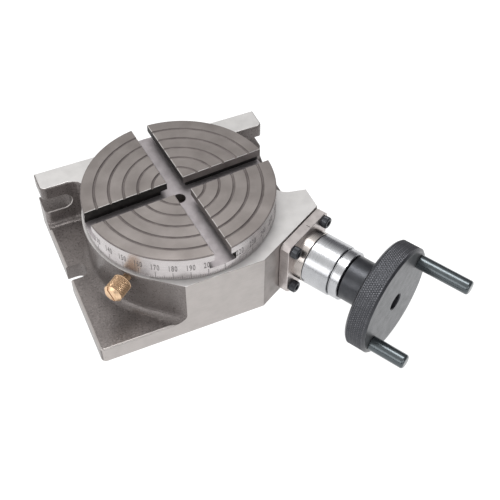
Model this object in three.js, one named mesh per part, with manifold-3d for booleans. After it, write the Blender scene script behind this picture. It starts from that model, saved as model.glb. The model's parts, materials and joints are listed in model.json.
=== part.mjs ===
// A four inch rotary table: a round table with T-slots, turned by a handwheel
// through a single-start worm and a 72-tooth wheel.
// Millimetres, +Z up, origin on the ground below the middle of the table.
// The long front edge of the base runs along X and the back flange faces +Y.

import * as THREE from 'three';
import { mergeVertices } from 'three/addons/utils/BufferGeometryUtils.js';
import Module from 'manifold-3d';

const wasm = await Module();
wasm.setup();

const radians = THREE.MathUtils.degToRad;

// ---- driving dimensions -------------------------------------------------

const GAP = 0.3; // between parts that are bolted or rest together
const RUNNING = 0.07; // radial clearance of a shaft or plug in its bore

// Base casting
const BASE_LEFT = -70;
const BASE_RIGHT = 72;
const BASE_FRONT = -56.8;
const BASE_BACK = 58.5;
const BODY_TOP = 41.2;
const FOOT_HEIGHT = 10.8;
const FLANGE_FRONT = 44;
const CORNER = 3;
const DRUM_RADIUS = 55;
const LEDGE_RADIUS = 56.3;
const LEDGE_HEIGHT = 1.8;
const FRONT_FACE_LEFT = -19.2;
const HOUSING_BACK = -17.2;
const HOUSING_INNER = new THREE.Vector2(59.5, -14.6);
const DRUM_FILLET = 8;
const FLOOR_FILLET = 4;
const BOLT_SLOT_WIDTH = 10.5;
const BOLT_SLOT_LENGTH = 18;
const FOOT_SLOT_INSET = 5.8; // from the base's end to the middle of the slot's round end
const FOOT_SLOT_Y = 2.7;
const FLANGE_SLOT_INSET = 12;
const FLANGE_SLOT_Z = 27;
const SCREW_HOLE_CLEARANCE = 0.1;
const SCREW_HEAD_SEAT = 0.05;

// Table
const TABLE_RADIUS = 55;
const TABLE_TOP = 57.5;
const TABLE_UNDERSIDE = 41.5;
const TABLE_TURN = radians(4);
const TABLE_CHAMFER = 0.5;
const SLOT_WIDTH = 10;
const SLOT_DEPTH = 10.4;
const SLOT_FOOT_WIDTH = 16;
const SLOT_FOOT_HEIGHT = 5.4;
const GROOVE_COUNT = 5;
const FIRST_GROOVE = 14.7;
const GROOVE_SPACING = 8.17;
const GROOVE_WIDTH = 1.5;
const GROOVE_DEPTH = 0.9;
const REGISTER_RADIUS = 44;
const REGISTER_WALL = 6;
const REGISTER_BOTTOM = 31;
const UNDERSIDE_RECESS = 36;
const HUB_RADIUS = 18.5;
const REGISTER_CLEARANCE = 0.09;

// Spindle and what holds it down
const SPINDLE_RADIUS = 10;
const SPINDLE_TOP = 41.2;
const SPINDLE_BOTTOM = 1.2;
const CENTRE_HOLE = 3.6;
const WEB_BOTTOM = 8;
const WEB_TOP = 14;
const BUSH_RADIUS = 13;
const BUSH_FLANGE_RADIUS = 15.5;
const BUSH_FLANGE_TOP = 16;
const NUT_RECESS_RADIUS = 20;
const THREAD_DEPTH = 0.5;
const SPINDLE_SEAT = 0.02; // radial fit of the spindle in the table and wheel
const NUT_BOTTOM = 1.6;
const NUT_TOP = 5.2;
const NUT_RADIUS = 15.5;
const SPANNER_HOLE_RADIUS = 1.5;
const SPANNER_HOLE_CIRCLE = 12.5;
const WASHER_BOTTOM = 5.5;
const WASHER_TOP = 7.6;
const WASHER_RADIUS = 17;

// Worm and wheel
const MODULE = 0.7;
const WHEEL_TEETH = 72;
const WORM_PITCH_RADIUS = 4.5;
const PRESSURE_ANGLE = radians(20);
const BACKLASH = 0.14;
const WHEEL_WIDTH = 9;
const WHEEL_CAVITY_RADIUS = 28;
const WHEEL_SCREW_CIRCLE = 14.2;
const WHEEL_SCREWS = 3;
const THREAD_TURNS = 8;
const STEPS_PER_TURN = 20;

// Worm line: distances along the worm axis are measured from the point of the
// axis that is nearest to the table's own axis.
const WORM_YAW = radians(-61);
const WORM_HEIGHT = 20.9;
const WORM_FACE = 63;
const PLATE_THICKNESS = 6;
const PLATE_SIZE = 38.4;
const PLATE_CORNER = 2.4;
const PLATE_SCREW_OFFSET = 14.7;
const BOSS_END = 75.6;
const DIAL_END = 92.6;
const LOCK_RING_END = 99.1;
const WHEEL_HUB_END = 116;
const HANDWHEEL_END = 128.8;
const BARREL_RADIUS = 15.6;
const LOCK_RING_RADIUS = 15;
const WHEEL_HUB_RADIUS = 13.5;
const HANDWHEEL_RADIUS = 32.8;
const HANDWHEEL_BEVEL = 1.2;
const PIN_CIRCLE = 26.2;
const PIN_ANGLE = radians(31);
const PIN_RADIUS = 4.2;
const PIN_LENGTHS = [32, 22];
const JOURNAL_RADIUS = 6;
const SHAFT_RADIUS = 5;
const TAIL_RADIUS = 4;
const TAIL_END = -27;
const TAIL_BUSH_START = -28;
const TAIL_BUSH_END = -14.5;
const BUSH_WALL = 2;
const FRONT_BUSH_WALL = 2.5;
const BUSH_SEAT = 0.02;
const BORE_RADIUS = 7.5;
const COUNTERBORE_RADIUS = 12.5;
const COLLAR_RADIUS = 9;
const COLLAR_START = 50;
const COLLAR_END = 56.7;
const HANDWHEEL_SEAT = 0.04;
const LOCK_RING_SEAT = 0.05;
const PIN_SHANK_RADIUS = 3;
const PIN_SHANK_LENGTH = 7.5;
const PIN_SEAT = 0.05;
const RING_SCREW_RADIUS = 1.5;
const HUB_SCREW_RADIUS = 2;
const HANDWHEEL_SCREW_PLACE = 107.5;
const SHAFT_RECESS = 3.7; // from the handwheel's face in to the end of the shaft

// Table lock: a knurled brass screw that pushes a plug against the register
const LOCK_AZIMUTH = radians(-143.3);
const LOCK_HEIGHT = 35.5;
const LOCK_STEM_RADIUS = 2.4;
const LOCK_HEAD_RADIUS = 5.5;
const LOCK_HEAD_START = 58.6;
const LOCK_HEAD_END = 70.2;
const PLUG_LENGTH = 4.6;
const LOCK_TRAVEL = 0.5;
const LOCK_SLOT_WIDTH = 0.9;
const LOCK_SLOT_DEPTH = 1.5;
const LOCK_SLOT_TURN = radians(28);

// M4 socket cap screw
const CAP_HEAD_RADIUS = 3.5;
const CAP_HEAD_HEIGHT = 4;
const CAP_SHANK_RADIUS = 1.95;
const CAP_SOCKET_RADIUS = 1.7;
const CAP_HOLE_RADIUS = 2.15;

const WHEEL_PITCH_RADIUS = (MODULE * WHEEL_TEETH) / 2;
const CENTRE_DISTANCE = WHEEL_PITCH_RADIUS + WORM_PITCH_RADIUS;
const THREAD_PITCH = Math.PI * MODULE;
const WHEEL_SIDE = WORM_YAW + Math.PI / 2;
const WORM_DIRECTION = new THREE.Vector2(Math.cos(WORM_YAW), Math.sin(WORM_YAW));

// ---- materials ----------------------------------------------------------

const finish = (color, roughness, metalness) =>
  new THREE.MeshStandardMaterial({ color, roughness, metalness });

const castIron = () => finish(0x5a5350, 0.55, 0.6);
const groundIron = () => finish(0x8c827f, 0.42, 0.75);
const groundSteel = () => finish(0xb4aaa8, 0.38, 0.85);
const satinChrome = () => finish(0xd6dadd, 0.22, 1.0);
const blackSteel = () => finish(0x33363a, 0.4, 0.7);
const gloss = () => finish(0x26292c, 0.15, 0.5);
const brass = () => finish(0xe6be82, 0.4, 0.9);
const bronze = () => finish(0xa9774a, 0.45, 0.9);

// ---- shape helpers ------------------------------------------------------

function toManifold(geometry) {
  const bare = geometry.clone();
  bare.deleteAttribute('normal');
  bare.deleteAttribute('uv');
  const merged = mergeVertices(bare, 1e-4);
  return new wasm.Manifold(
    new wasm.Mesh({
      numProp: 3,
      vertProperties: Float32Array.from(merged.attributes.position.array),
      triVerts: Uint32Array.from(merged.index.array),
    }),
  );
}

function toGeometry(manifold) {
  const mesh = manifold.getMesh();
  const geometry = new THREE.BufferGeometry();
  geometry.setAttribute('position', new THREE.BufferAttribute(mesh.vertProperties, 3));
  geometry.setIndex(new THREE.BufferAttribute(mesh.triVerts, 1));
  geometry.computeVertexNormals();
  return geometry;
}

// Joins the solids in `add` and cuts the solids in `remove` from them.
function combine(add, remove = []) {
  let solid = toManifold(add[0]);
  for (const geometry of add.slice(1)) solid = solid.add(toManifold(geometry));
  for (const geometry of remove) solid = solid.subtract(toManifold(geometry));
  return toGeometry(solid);
}

// A turned solid about Z. The outline runs outward along its low end, up its
// outside and back in along its high end; a ring's outline closes on itself.
function turned(outline, segments = 48) {
  const points = outline.map(([radius, height]) => new THREE.Vector2(radius, height));
  return new THREE.LatheGeometry(points, segments).rotateX(Math.PI / 2);
}

function rod(radius, low, high, segments = 48) {
  return turned([[0, low], [radius, low], [radius, high], [0, high]], segments);
}

function ring(inner, outer, low, high, segments = 48) {
  return turned(
    [[inner, low], [outer, low], [outer, high], [inner, high], [inner, low]],
    segments,
  );
}

function extruded(shape, low, high, curveSegments = 12) {
  const options = { depth: high - low, bevelEnabled: false, curveSegments };
  return new THREE.ExtrudeGeometry(shape, options).translate(0, 0, low);
}

function box(low, high) {
  const size = new THREE.Vector3().subVectors(high, low);
  const middle = new THREE.Vector3().addVectors(low, high).multiplyScalar(0.5);
  return new THREE.BoxGeometry(size.x, size.y, size.z).translate(middle.x, middle.y, middle.z);
}

function polygon(points) {
  return new THREE.Shape(points.map(([x, y]) => new THREE.Vector2(x, y)));
}

function hexagon(acrossCorners) {
  const corners = [];
  for (let i = 0; i < 6; i += 1) {
    const angle = (i * Math.PI) / 3;
    corners.push([acrossCorners * Math.cos(angle), acrossCorners * Math.sin(angle)]);
  }
  return polygon(corners);
}

function place(geometry, x, y, z, turn = 0) {
  return geometry.rotateZ(turn).translate(x, y, z);
}

// Carries a solid that is drawn about Z onto the worm axis.
function alongWorm(geometry) {
  return geometry.applyMatrix4(wormFrame());
}

function wormFrame() {
  const along = new THREE.Vector3(WORM_DIRECTION.x, WORM_DIRECTION.y, 0);
  const inward = new THREE.Vector3(WORM_DIRECTION.y, -WORM_DIRECTION.x, 0);
  const down = new THREE.Vector3().crossVectors(along, inward);
  const frame = new THREE.Matrix4().makeBasis(inward, down, along);
  return frame.setPosition(inward.multiplyScalar(-CENTRE_DISTANCE).setZ(WORM_HEIGHT));
}

function lockFrame() {
  const outward = new THREE.Vector3(Math.cos(LOCK_AZIMUTH), Math.sin(LOCK_AZIMUTH), 0);
  const up = new THREE.Vector3(0, 0, 1);
  const side = new THREE.Vector3().crossVectors(up, outward);
  return new THREE.Matrix4().makeBasis(side, up, outward).setPosition(0, 0, LOCK_HEIGHT);
}

function mesh(name, geometry, material) {
  const result = new THREE.Mesh(geometry, material);
  result.name = name;
  return result;
}

// ---- base casting -------------------------------------------------------

// Where the vertical worm face meets a line of constant X or Y.
const wormFaceY = (x) => (WORM_FACE - WORM_DIRECTION.x * x) / WORM_DIRECTION.y;
const wormFaceX = (y) => (WORM_FACE - WORM_DIRECTION.y * y) / WORM_DIRECTION.x;

function footShape() {
  const shape = new THREE.Shape();
  shape.moveTo(BASE_LEFT + CORNER, BASE_FRONT);
  shape.lineTo(wormFaceX(BASE_FRONT), BASE_FRONT);
  shape.lineTo(BASE_RIGHT, wormFaceY(BASE_RIGHT));
  shape.lineTo(BASE_RIGHT, FLANGE_FRONT);
  shape.lineTo(BASE_LEFT, FLANGE_FRONT);
  shape.lineTo(BASE_LEFT, BASE_FRONT + CORNER);
  shape.absarc(BASE_LEFT + CORNER, BASE_FRONT + CORNER, CORNER, Math.PI, 1.5 * Math.PI);
  return shape;
}

function backFlangeShape() {
  const shape = new THREE.Shape();
  const right = BASE_RIGHT - CORNER;
  const left = BASE_LEFT + CORNER;
  const front = FLANGE_FRONT + CORNER;
  shape.moveTo(left, FLANGE_FRONT);
  shape.absarc(right, front, CORNER, -0.5 * Math.PI, 0);
  shape.lineTo(BASE_RIGHT, BASE_BACK);
  shape.lineTo(BASE_LEFT, BASE_BACK);
  shape.absarc(left, front, CORNER, Math.PI, 1.5 * Math.PI);
  return shape;
}

// The drum under the table, the fillets that run into the back flange, the
// wall that leaves the drum at a tangent, and the worm housing at the right.
function bodyShape(radius) {
  const filletY = FLANGE_FRONT - DRUM_FILLET;
  const filletX = Math.sqrt((radius + DRUM_FILLET) ** 2 - filletY ** 2);
  const filletAngle = Math.atan2(filletY, filletX);
  const corner = new THREE.Vector2(FRONT_FACE_LEFT, BASE_FRONT);
  const tangent = corner.angle() - Math.acos(radius / corner.length());
  const housingAngle = Math.asin(HOUSING_INNER.y / 2 / radius) - radians(2);
  const shape = new THREE.Shape();
  shape.moveTo(-filletX, FLANGE_FRONT + 1);
  shape.lineTo(-filletX, FLANGE_FRONT);
  shape.absarc(-filletX, filletY, DRUM_FILLET, Math.PI / 2, -filletAngle, true);
  shape.absarc(0, 0, radius, Math.PI - filletAngle, tangent, false);
  shape.lineTo(corner.x, corner.y);
  shape.lineTo(wormFaceX(BASE_FRONT), BASE_FRONT);
  shape.lineTo(BASE_RIGHT, wormFaceY(BASE_RIGHT));
  shape.lineTo(BASE_RIGHT, HOUSING_BACK);
  shape.lineTo(HOUSING_INNER.x, HOUSING_INNER.y);
  shape.absarc(0, 0, radius, housingAngle, filletAngle, false);
  shape.absarc(filletX, filletY, DRUM_FILLET, Math.PI + filletAngle, Math.PI / 2, true);
  shape.lineTo(filletX, FLANGE_FRONT + 1);
  return shape;
}

// The concave fillet where the back flange meets the foot.
function floorFillet() {
  const shape = new THREE.Shape();
  shape.moveTo(-1, -1);
  shape.lineTo(FLOOR_FILLET, -1);
  shape.lineTo(FLOOR_FILLET, 0);
  shape.absarc(FLOOR_FILLET, FLOOR_FILLET, FLOOR_FILLET, 1.5 * Math.PI, Math.PI, true);
  shape.lineTo(-1, FLOOR_FILLET);
  const length = BASE_RIGHT - BASE_LEFT - 2 * CORNER;
  const bar = extruded(shape, -length / 2, length / 2, 4);
  bar.rotateX(Math.PI / 2).rotateZ(-Math.PI / 2);
  return bar.translate((BASE_LEFT + BASE_RIGHT) / 2, FLANGE_FRONT, FOOT_HEIGHT);
}

// An open-ended bolt slot drawn along +X from its closed, rounded end.
function boltSlot(low, high) {
  const half = BOLT_SLOT_WIDTH / 2;
  const shape = new THREE.Shape();
  shape.absarc(0, 0, half, Math.PI / 2, 1.5 * Math.PI);
  shape.lineTo(BOLT_SLOT_LENGTH, -half);
  shape.lineTo(BOLT_SLOT_LENGTH, half);
  return extruded(shape, low, high, 8);
}

function boltSlots() {
  const cuts = [];
  for (const [end, side] of [[BASE_LEFT, -1], [BASE_RIGHT, 1]]) {
    const turn = side < 0 ? Math.PI : 0;
    const footX = end - side * FOOT_SLOT_INSET;
    cuts.push(place(boltSlot(-1, FOOT_HEIGHT + 1), footX, FOOT_SLOT_Y, 0, turn));
    const upright = boltSlot(-BASE_BACK - 1, -FLANGE_FRONT + 1).rotateZ(turn).rotateX(Math.PI / 2);
    cuts.push(upright.translate(end - side * FLANGE_SLOT_INSET, 0, FLANGE_SLOT_Z));
  }
  return cuts;
}

function baseBores() {
  const lockHole = rod(LOCK_STEM_RADIUS + SCREW_HOLE_CLEARANCE, REGISTER_RADIUS - 4, LEDGE_RADIUS + 6, 16);
  const bores = [
    rod(REGISTER_RADIUS + REGISTER_CLEARANCE, REGISTER_BOTTOM - 0.5, BODY_TOP + 1, 72),
    rod(WHEEL_CAVITY_RADIUS, WEB_TOP, REGISTER_BOTTOM, 36),
    rod(BUSH_RADIUS + BUSH_SEAT, WEB_BOTTOM - 1, WEB_TOP + 1, 48),
    rod(NUT_RECESS_RADIUS, -1, WEB_BOTTOM, 48),
    alongWorm(rod(BORE_RADIUS, -14, WORM_FACE + 1, 32)),
    alongWorm(rod(COUNTERBORE_RADIUS, COLLAR_START - GAP, WORM_FACE + 1, 48)),
    alongWorm(rod(TAIL_RADIUS + BUSH_WALL + BUSH_SEAT, TAIL_BUSH_START - 1, 0, 32)),
    lockHole.applyMatrix4(lockFrame()),
  ];
  for (const [side, height] of plateScrewPlaces()) {
    const hole = rod(CAP_SHANK_RADIUS + SCREW_HOLE_CLEARANCE, WORM_FACE - 10, WORM_FACE + 1, 12);
    bores.push(alongWorm(hole.translate(side, height, 0)));
  }
  return bores;
}

function baseCasting() {
  const ledgeLow = BODY_TOP - LEDGE_HEIGHT;
  const solids = [
    extruded(footShape(), 0, FOOT_HEIGHT, 6),
    extruded(backFlangeShape(), 0, BODY_TOP, 6),
    extruded(bodyShape(DRUM_RADIUS), 1, ledgeLow, 20),
    extruded(bodyShape(LEDGE_RADIUS), ledgeLow - 0.5, BODY_TOP, 20),
    floorFillet(),
  ];
  return mesh('base_casting', combine(solids, [...boltSlots(), ...baseBores()]), castIron());
}

function spindleBush() {
  const inner = SPINDLE_RADIUS + RUNNING;
  const outline = [
    [inner, WEB_BOTTOM],
    [BUSH_RADIUS, WEB_BOTTOM],
    [BUSH_RADIUS, WEB_TOP + GAP],
    [BUSH_FLANGE_RADIUS, WEB_TOP + GAP],
    [BUSH_FLANGE_RADIUS, BUSH_FLANGE_TOP],
    [inner, BUSH_FLANGE_TOP],
    [inner, WEB_BOTTOM],
  ];
  return mesh('spindle_bush', turned(outline), bronze());
}

// ---- screws -------------------------------------------------------------

// A socket cap screw along Z: the head stands on z = 0 and the shank goes down.
function capScrew(shankLength) {
  const chamfer = 0.35;
  const body = turned([
    [0, -shankLength],
    [CAP_SHANK_RADIUS, -shankLength],
    [CAP_SHANK_RADIUS, 0],
    [CAP_HEAD_RADIUS, 0],
    [CAP_HEAD_RADIUS, CAP_HEAD_HEIGHT - chamfer],
    [CAP_HEAD_RADIUS - chamfer, CAP_HEAD_HEIGHT],
    [0, CAP_HEAD_HEIGHT],
  ], 16);
  const socket = extruded(hexagon(CAP_SOCKET_RADIUS), CAP_HEAD_HEIGHT / 2, CAP_HEAD_HEIGHT + 1);
  return combine([body], [socket]);
}

// ---- table --------------------------------------------------------------

// The top face from the rim inwards, with its concentric V-grooves.
function grooveOutline() {
  const outline = [];
  for (let i = GROOVE_COUNT - 1; i >= 0; i -= 1) {
    const radius = FIRST_GROOVE + i * GROOVE_SPACING;
    outline.push([radius + GROOVE_WIDTH / 2, TABLE_TOP]);
    outline.push([radius, TABLE_TOP - GROOVE_DEPTH]);
    outline.push([radius - GROOVE_WIDTH / 2, TABLE_TOP]);
  }
  return outline;
}

function tableBlank() {
  const seat = SPINDLE_RADIUS + SPINDLE_SEAT;
  const seatTop = SPINDLE_TOP + GAP;
  const hubBottom = WORM_HEIGHT + WHEEL_WIDTH / 2 + GAP;
  const outline = [
    [seat, hubBottom],
    [HUB_RADIUS, hubBottom],
    [HUB_RADIUS, UNDERSIDE_RECESS],
    [REGISTER_RADIUS - REGISTER_WALL, UNDERSIDE_RECESS],
    [REGISTER_RADIUS - REGISTER_WALL, REGISTER_BOTTOM],
    [REGISTER_RADIUS, REGISTER_BOTTOM],
    [REGISTER_RADIUS, TABLE_UNDERSIDE],
    [TABLE_RADIUS, TABLE_UNDERSIDE],
    [TABLE_RADIUS, TABLE_TOP - TABLE_CHAMFER],
    [TABLE_RADIUS - TABLE_CHAMFER, TABLE_TOP],
    ...grooveOutline(),
    [CENTRE_HOLE, TABLE_TOP],
    [CENTRE_HOLE, seatTop],
    [seat, seatTop],
    [seat, hubBottom],
  ];
  return turned(outline, 60);
}

function teeSlot() {
  const floor = TABLE_TOP - SLOT_DEPTH;
  const shoulder = floor + SLOT_FOOT_HEIGHT;
  const foot = SLOT_FOOT_WIDTH / 2;
  const mouth = SLOT_WIDTH / 2;
  const shape = polygon([
    [-foot, floor],
    [foot, floor],
    [foot, shoulder],
    [mouth, shoulder],
    [mouth, TABLE_TOP + 1],
    [-mouth, TABLE_TOP + 1],
    [-mouth, shoulder],
    [-foot, shoulder],
  ]);
  const reach = TABLE_RADIUS + 1;
  return extruded(shape, -reach, reach).rotateX(Math.PI / 2);
}

function rotaryTable() {
  const cuts = [teeSlot(), teeSlot().rotateZ(Math.PI / 2)];
  for (const [x, y] of wheelScrewPlaces()) {
    const hole = rod(CAP_SHANK_RADIUS + SCREW_HOLE_CLEARANCE, WORM_HEIGHT, UNDERSIDE_RECESS, 12);
    cuts.push(hole.translate(x, y, 0));
  }
  return mesh('rotary_table', combine([tableBlank()], cuts), groundIron());
}

function tableSpindle() {
  const threadTop = WEB_BOTTOM - GAP;
  const threadRadius = SPINDLE_RADIUS - THREAD_DEPTH;
  const outline = [
    [CENTRE_HOLE, SPINDLE_BOTTOM],
    [threadRadius, SPINDLE_BOTTOM],
    [threadRadius, threadTop],
    [SPINDLE_RADIUS, threadTop],
    [SPINDLE_RADIUS, SPINDLE_TOP],
    [CENTRE_HOLE, SPINDLE_TOP],
    [CENTRE_HOLE, SPINDLE_BOTTOM],
  ];
  return mesh('table_spindle', turned(outline, 32), groundSteel());
}

function spindleNut() {
  const holes = [-1, 1].map((side) => {
    const hole = rod(SPANNER_HOLE_RADIUS, NUT_BOTTOM - 1, NUT_TOP - 1, 10);
    return hole.translate(SPANNER_HOLE_CIRCLE * side, 0, 0);
  });
  const bore = SPINDLE_RADIUS - THREAD_DEPTH + 0.05;
  const body = ring(bore, NUT_RADIUS, NUT_BOTTOM, NUT_TOP, 32);
  return mesh('spindle_nut', combine([body], holes), blackSteel());
}

function spindleWasher() {
  const bore = SPINDLE_RADIUS - THREAD_DEPTH + 0.1;
  const washer = ring(bore, WASHER_RADIUS, WASHER_BOTTOM, WASHER_TOP, 32);
  return mesh('spindle_washer', washer, groundSteel());
}

// ---- worm wheel ---------------------------------------------------------

// Half the thickness of a tooth at a given height above its pitch line.
function toothHalf(height) {
  const atPitch = (THREAD_PITCH / 2 - BACKLASH) / 2;
  return atPitch - height * Math.tan(PRESSURE_ANGLE);
}

// The wheel's outline, with the middle of a tooth gap on +X.
function wheelShape() {
  const tip = 0.95 * MODULE;
  const root = -1.2 * MODULE;
  const points = [];
  for (let tooth = 0; tooth < WHEEL_TEETH; tooth += 1) {
    const middle = ((tooth + 0.5) / WHEEL_TEETH) * 2 * Math.PI;
    for (const [side, height] of [[-1, root], [-1, tip], [1, tip], [1, root]]) {
      const radius = WHEEL_PITCH_RADIUS + height;
      const angle = middle + (side * toothHalf(height)) / WHEEL_PITCH_RADIUS;
      points.push([radius * Math.cos(angle), radius * Math.sin(angle)]);
    }
  }
  return polygon(points);
}

// Turns each level of the blank a little further, so that the teeth lean by
// the worm's lead angle.
function leanTeeth(geometry) {
  const lead = THREAD_PITCH / (2 * Math.PI * WORM_PITCH_RADIUS);
  const position = geometry.attributes.position;
  const point = new THREE.Vector3();
  const up = new THREE.Vector3(0, 0, 1);
  for (let i = 0; i < position.count; i += 1) {
    point.fromBufferAttribute(position, i);
    point.applyAxisAngle(up, (lead * point.z) / WHEEL_PITCH_RADIUS);
    position.setXYZ(i, point.x, point.y, point.z);
  }
  return geometry;
}

function wheelScrewPlaces() {
  const places = [];
  for (let i = 0; i < WHEEL_SCREWS; i += 1) {
    const angle = (i / WHEEL_SCREWS) * 2 * Math.PI + Math.PI / 4;
    const spot = new THREE.Vector2(WHEEL_SCREW_CIRCLE, 0).rotateAround(new THREE.Vector2(), angle);
    places.push(spot.toArray());
  }
  return places;
}

function wormWheel() {
  const half = WHEEL_WIDTH / 2;
  const blank = leanTeeth(extruded(wheelShape(), -half, half));
  const turnToMesh = WHEEL_SIDE - TABLE_TURN;
  const cuts = [rod(SPINDLE_RADIUS + SPINDLE_SEAT, -half - 1, half + 1, 48)];
  for (const [x, y] of wheelScrewPlaces()) {
    const headPocket = rod(CAP_HEAD_RADIUS + 0.2, -half - 1, GAP - half + CAP_HEAD_HEIGHT, 16);
    cuts.push(rod(CAP_HOLE_RADIUS, -half - 1, half + 1, 12).translate(x, y, 0));
    cuts.push(headPocket.translate(x, y, 0));
  }
  blank.rotateZ(turnToMesh);
  const wheel = mesh('worm_wheel', combine([blank], cuts), bronze());
  wheel.position.z = WORM_HEIGHT;
  return wheel;
}

function wheelScrews() {
  return wheelScrewPlaces().map(([x, y], i) => {
    const screw = mesh(`wheel_screw_${i + 1}`, capScrew(11.5), blackSteel());
    screw.position.set(x, y, WORM_HEIGHT - WHEEL_WIDTH / 2 + CAP_HEAD_HEIGHT);
    screw.rotation.x = Math.PI;
    return screw;
  });
}

// ---- worm line ----------------------------------------------------------

// One trapezoid bar, wrapped round the worm as its thread. The bar is drawn
// with X as radius and -Y as axial place, and its length becomes the turns.
function threadRidge() {
  const tip = MODULE;
  const buried = -1.5 * MODULE;
  const shape = polygon([
    [WORM_PITCH_RADIUS + buried, -toothHalf(buried)],
    [WORM_PITCH_RADIUS + tip, -toothHalf(tip)],
    [WORM_PITCH_RADIUS + tip, toothHalf(tip)],
    [WORM_PITCH_RADIUS + buried, toothHalf(buried)],
  ]);
  const steps = THREAD_TURNS * STEPS_PER_TURN;
  const options = { depth: THREAD_TURNS, bevelEnabled: false, steps };
  const bar = new THREE.ExtrudeGeometry(shape, options);
  const position = bar.attributes.position;
  for (let i = 0; i < position.count; i += 1) {
    const radius = position.getX(i);
    const turns = position.getZ(i) - THREAD_TURNS / 2;
    const angle = turns * 2 * Math.PI;
    const along = turns * THREAD_PITCH - position.getY(i);
    position.setXYZ(i, radius * Math.cos(angle), radius * Math.sin(angle), along);
  }
  return bar;
}

function wormShaft() {
  const root = WORM_PITCH_RADIUS - 1.2 * MODULE;
  const neck = (THREAD_TURNS / 2 + 1) * THREAD_PITCH;
  const end = HANDWHEEL_END - SHAFT_RECESS;
  const chamfer = 0.8;
  const core = turned([
    [0, TAIL_END],
    [TAIL_RADIUS, TAIL_END],
    [TAIL_RADIUS, -neck - (TAIL_RADIUS - root)],
    [root, -neck],
    [root, neck],
    [SHAFT_RADIUS, neck + (SHAFT_RADIUS - root)],
    [SHAFT_RADIUS, COLLAR_START],
    [COLLAR_RADIUS, COLLAR_START],
    [COLLAR_RADIUS, COLLAR_END],
    [JOURNAL_RADIUS, COLLAR_END],
    [JOURNAL_RADIUS, LOCK_RING_END],
    [SHAFT_RADIUS, LOCK_RING_END],
    [SHAFT_RADIUS, end - chamfer],
    [SHAFT_RADIUS - chamfer, end],
    [0, end],
  ], STEPS_PER_TURN);
  return mesh('worm_shaft', combine([core, threadRidge()]), groundSteel());
}

function plateScrewPlaces() {
  const offsets = [-PLATE_SCREW_OFFSET, PLATE_SCREW_OFFSET];
  return offsets.flatMap((side) => offsets.map((height) => [side, height]));
}

function bearingPlateShape() {
  const half = PLATE_SIZE / 2;
  const cut = half - PLATE_CORNER;
  return polygon([
    [-cut, -half],
    [cut, -half],
    [half, -cut],
    [half, cut],
    [cut, half],
    [-cut, half],
    [-half, cut],
    [-half, -cut],
  ]);
}

function wormBearingFlange() {
  const plateLow = WORM_FACE + GAP;
  const plateHigh = plateLow + PLATE_THICKNESS;
  const solids = [
    extruded(bearingPlateShape(), plateLow, plateHigh),
    rod(COUNTERBORE_RADIUS - GAP, COLLAR_END + GAP, plateHigh - 1, 48),
    rod(BARREL_RADIUS, plateHigh - 1, BOSS_END, 40),
  ];
  const bore = JOURNAL_RADIUS + FRONT_BUSH_WALL + BUSH_SEAT;
  const cuts = [rod(bore, COLLAR_END - 1, BOSS_END + 1, 40)];
  for (const [x, y] of plateScrewPlaces()) {
    cuts.push(rod(CAP_HOLE_RADIUS, plateLow - 1, plateHigh + 1, 12).translate(x, y, 0));
  }
  return mesh('worm_bearing_flange', combine(solids, cuts), groundSteel());
}

function flangeScrews() {
  const headStand = WORM_FACE + GAP + PLATE_THICKNESS + SCREW_HEAD_SEAT;
  return plateScrewPlaces().map(([x, y], i) => {
    const screw = mesh(`flange_screw_${i + 1}`, capScrew(14), blackSteel());
    screw.position.set(x, y, headStand);
    return screw;
  });
}

function wormBushes() {
  const frontOuter = JOURNAL_RADIUS + FRONT_BUSH_WALL;
  const front = ring(JOURNAL_RADIUS + RUNNING, frontOuter, COLLAR_END + 2 * GAP, BOSS_END, 40);
  const tailOuter = TAIL_RADIUS + BUSH_WALL;
  const rear = ring(TAIL_RADIUS + RUNNING, tailOuter, TAIL_BUSH_START, TAIL_BUSH_END, 32);
  return [mesh('worm_bush_front', front, bronze()), mesh('worm_bush_rear', rear, bronze())];
}

function indexDial() {
  const chamfer = 0.4;
  const low = BOSS_END + GAP;
  const inner = JOURNAL_RADIUS + RUNNING;
  const outline = [
    [inner, low],
    [BARREL_RADIUS, low],
    [BARREL_RADIUS, DIAL_END - chamfer],
    [BARREL_RADIUS - chamfer, DIAL_END],
    [inner, DIAL_END],
    [inner, low],
  ];
  return mesh('index_dial', turned(outline, 40), satinChrome());
}

function dialLockRing() {
  const low = DIAL_END + GAP;
  const body = ring(JOURNAL_RADIUS + LOCK_RING_SEAT, LOCK_RING_RADIUS, low, LOCK_RING_END, 40);
  const middle = (low + LOCK_RING_END) / 2;
  const holeRadius = RING_SCREW_RADIUS + SCREW_HOLE_CLEARANCE;
  const hole = rod(holeRadius, JOURNAL_RADIUS - 1, LOCK_RING_RADIUS + 1, 12).rotateX(-Math.PI / 2);
  return mesh('dial_lock_ring', combine([body], [hole.translate(0, 0, middle)]), satinChrome());
}

// A headless screw that reaches radially from the shaft, along +Y.
function setScrew(name, radius, from, to, along) {
  const body = rod(radius, from, to, 12);
  const socket = extruded(hexagon(radius * 0.55), to - 1.6, to + 1);
  const screw = mesh(name, combine([body], [socket]), blackSteel());
  screw.rotation.x = -Math.PI / 2;
  screw.position.z = along;
  return screw;
}

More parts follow.
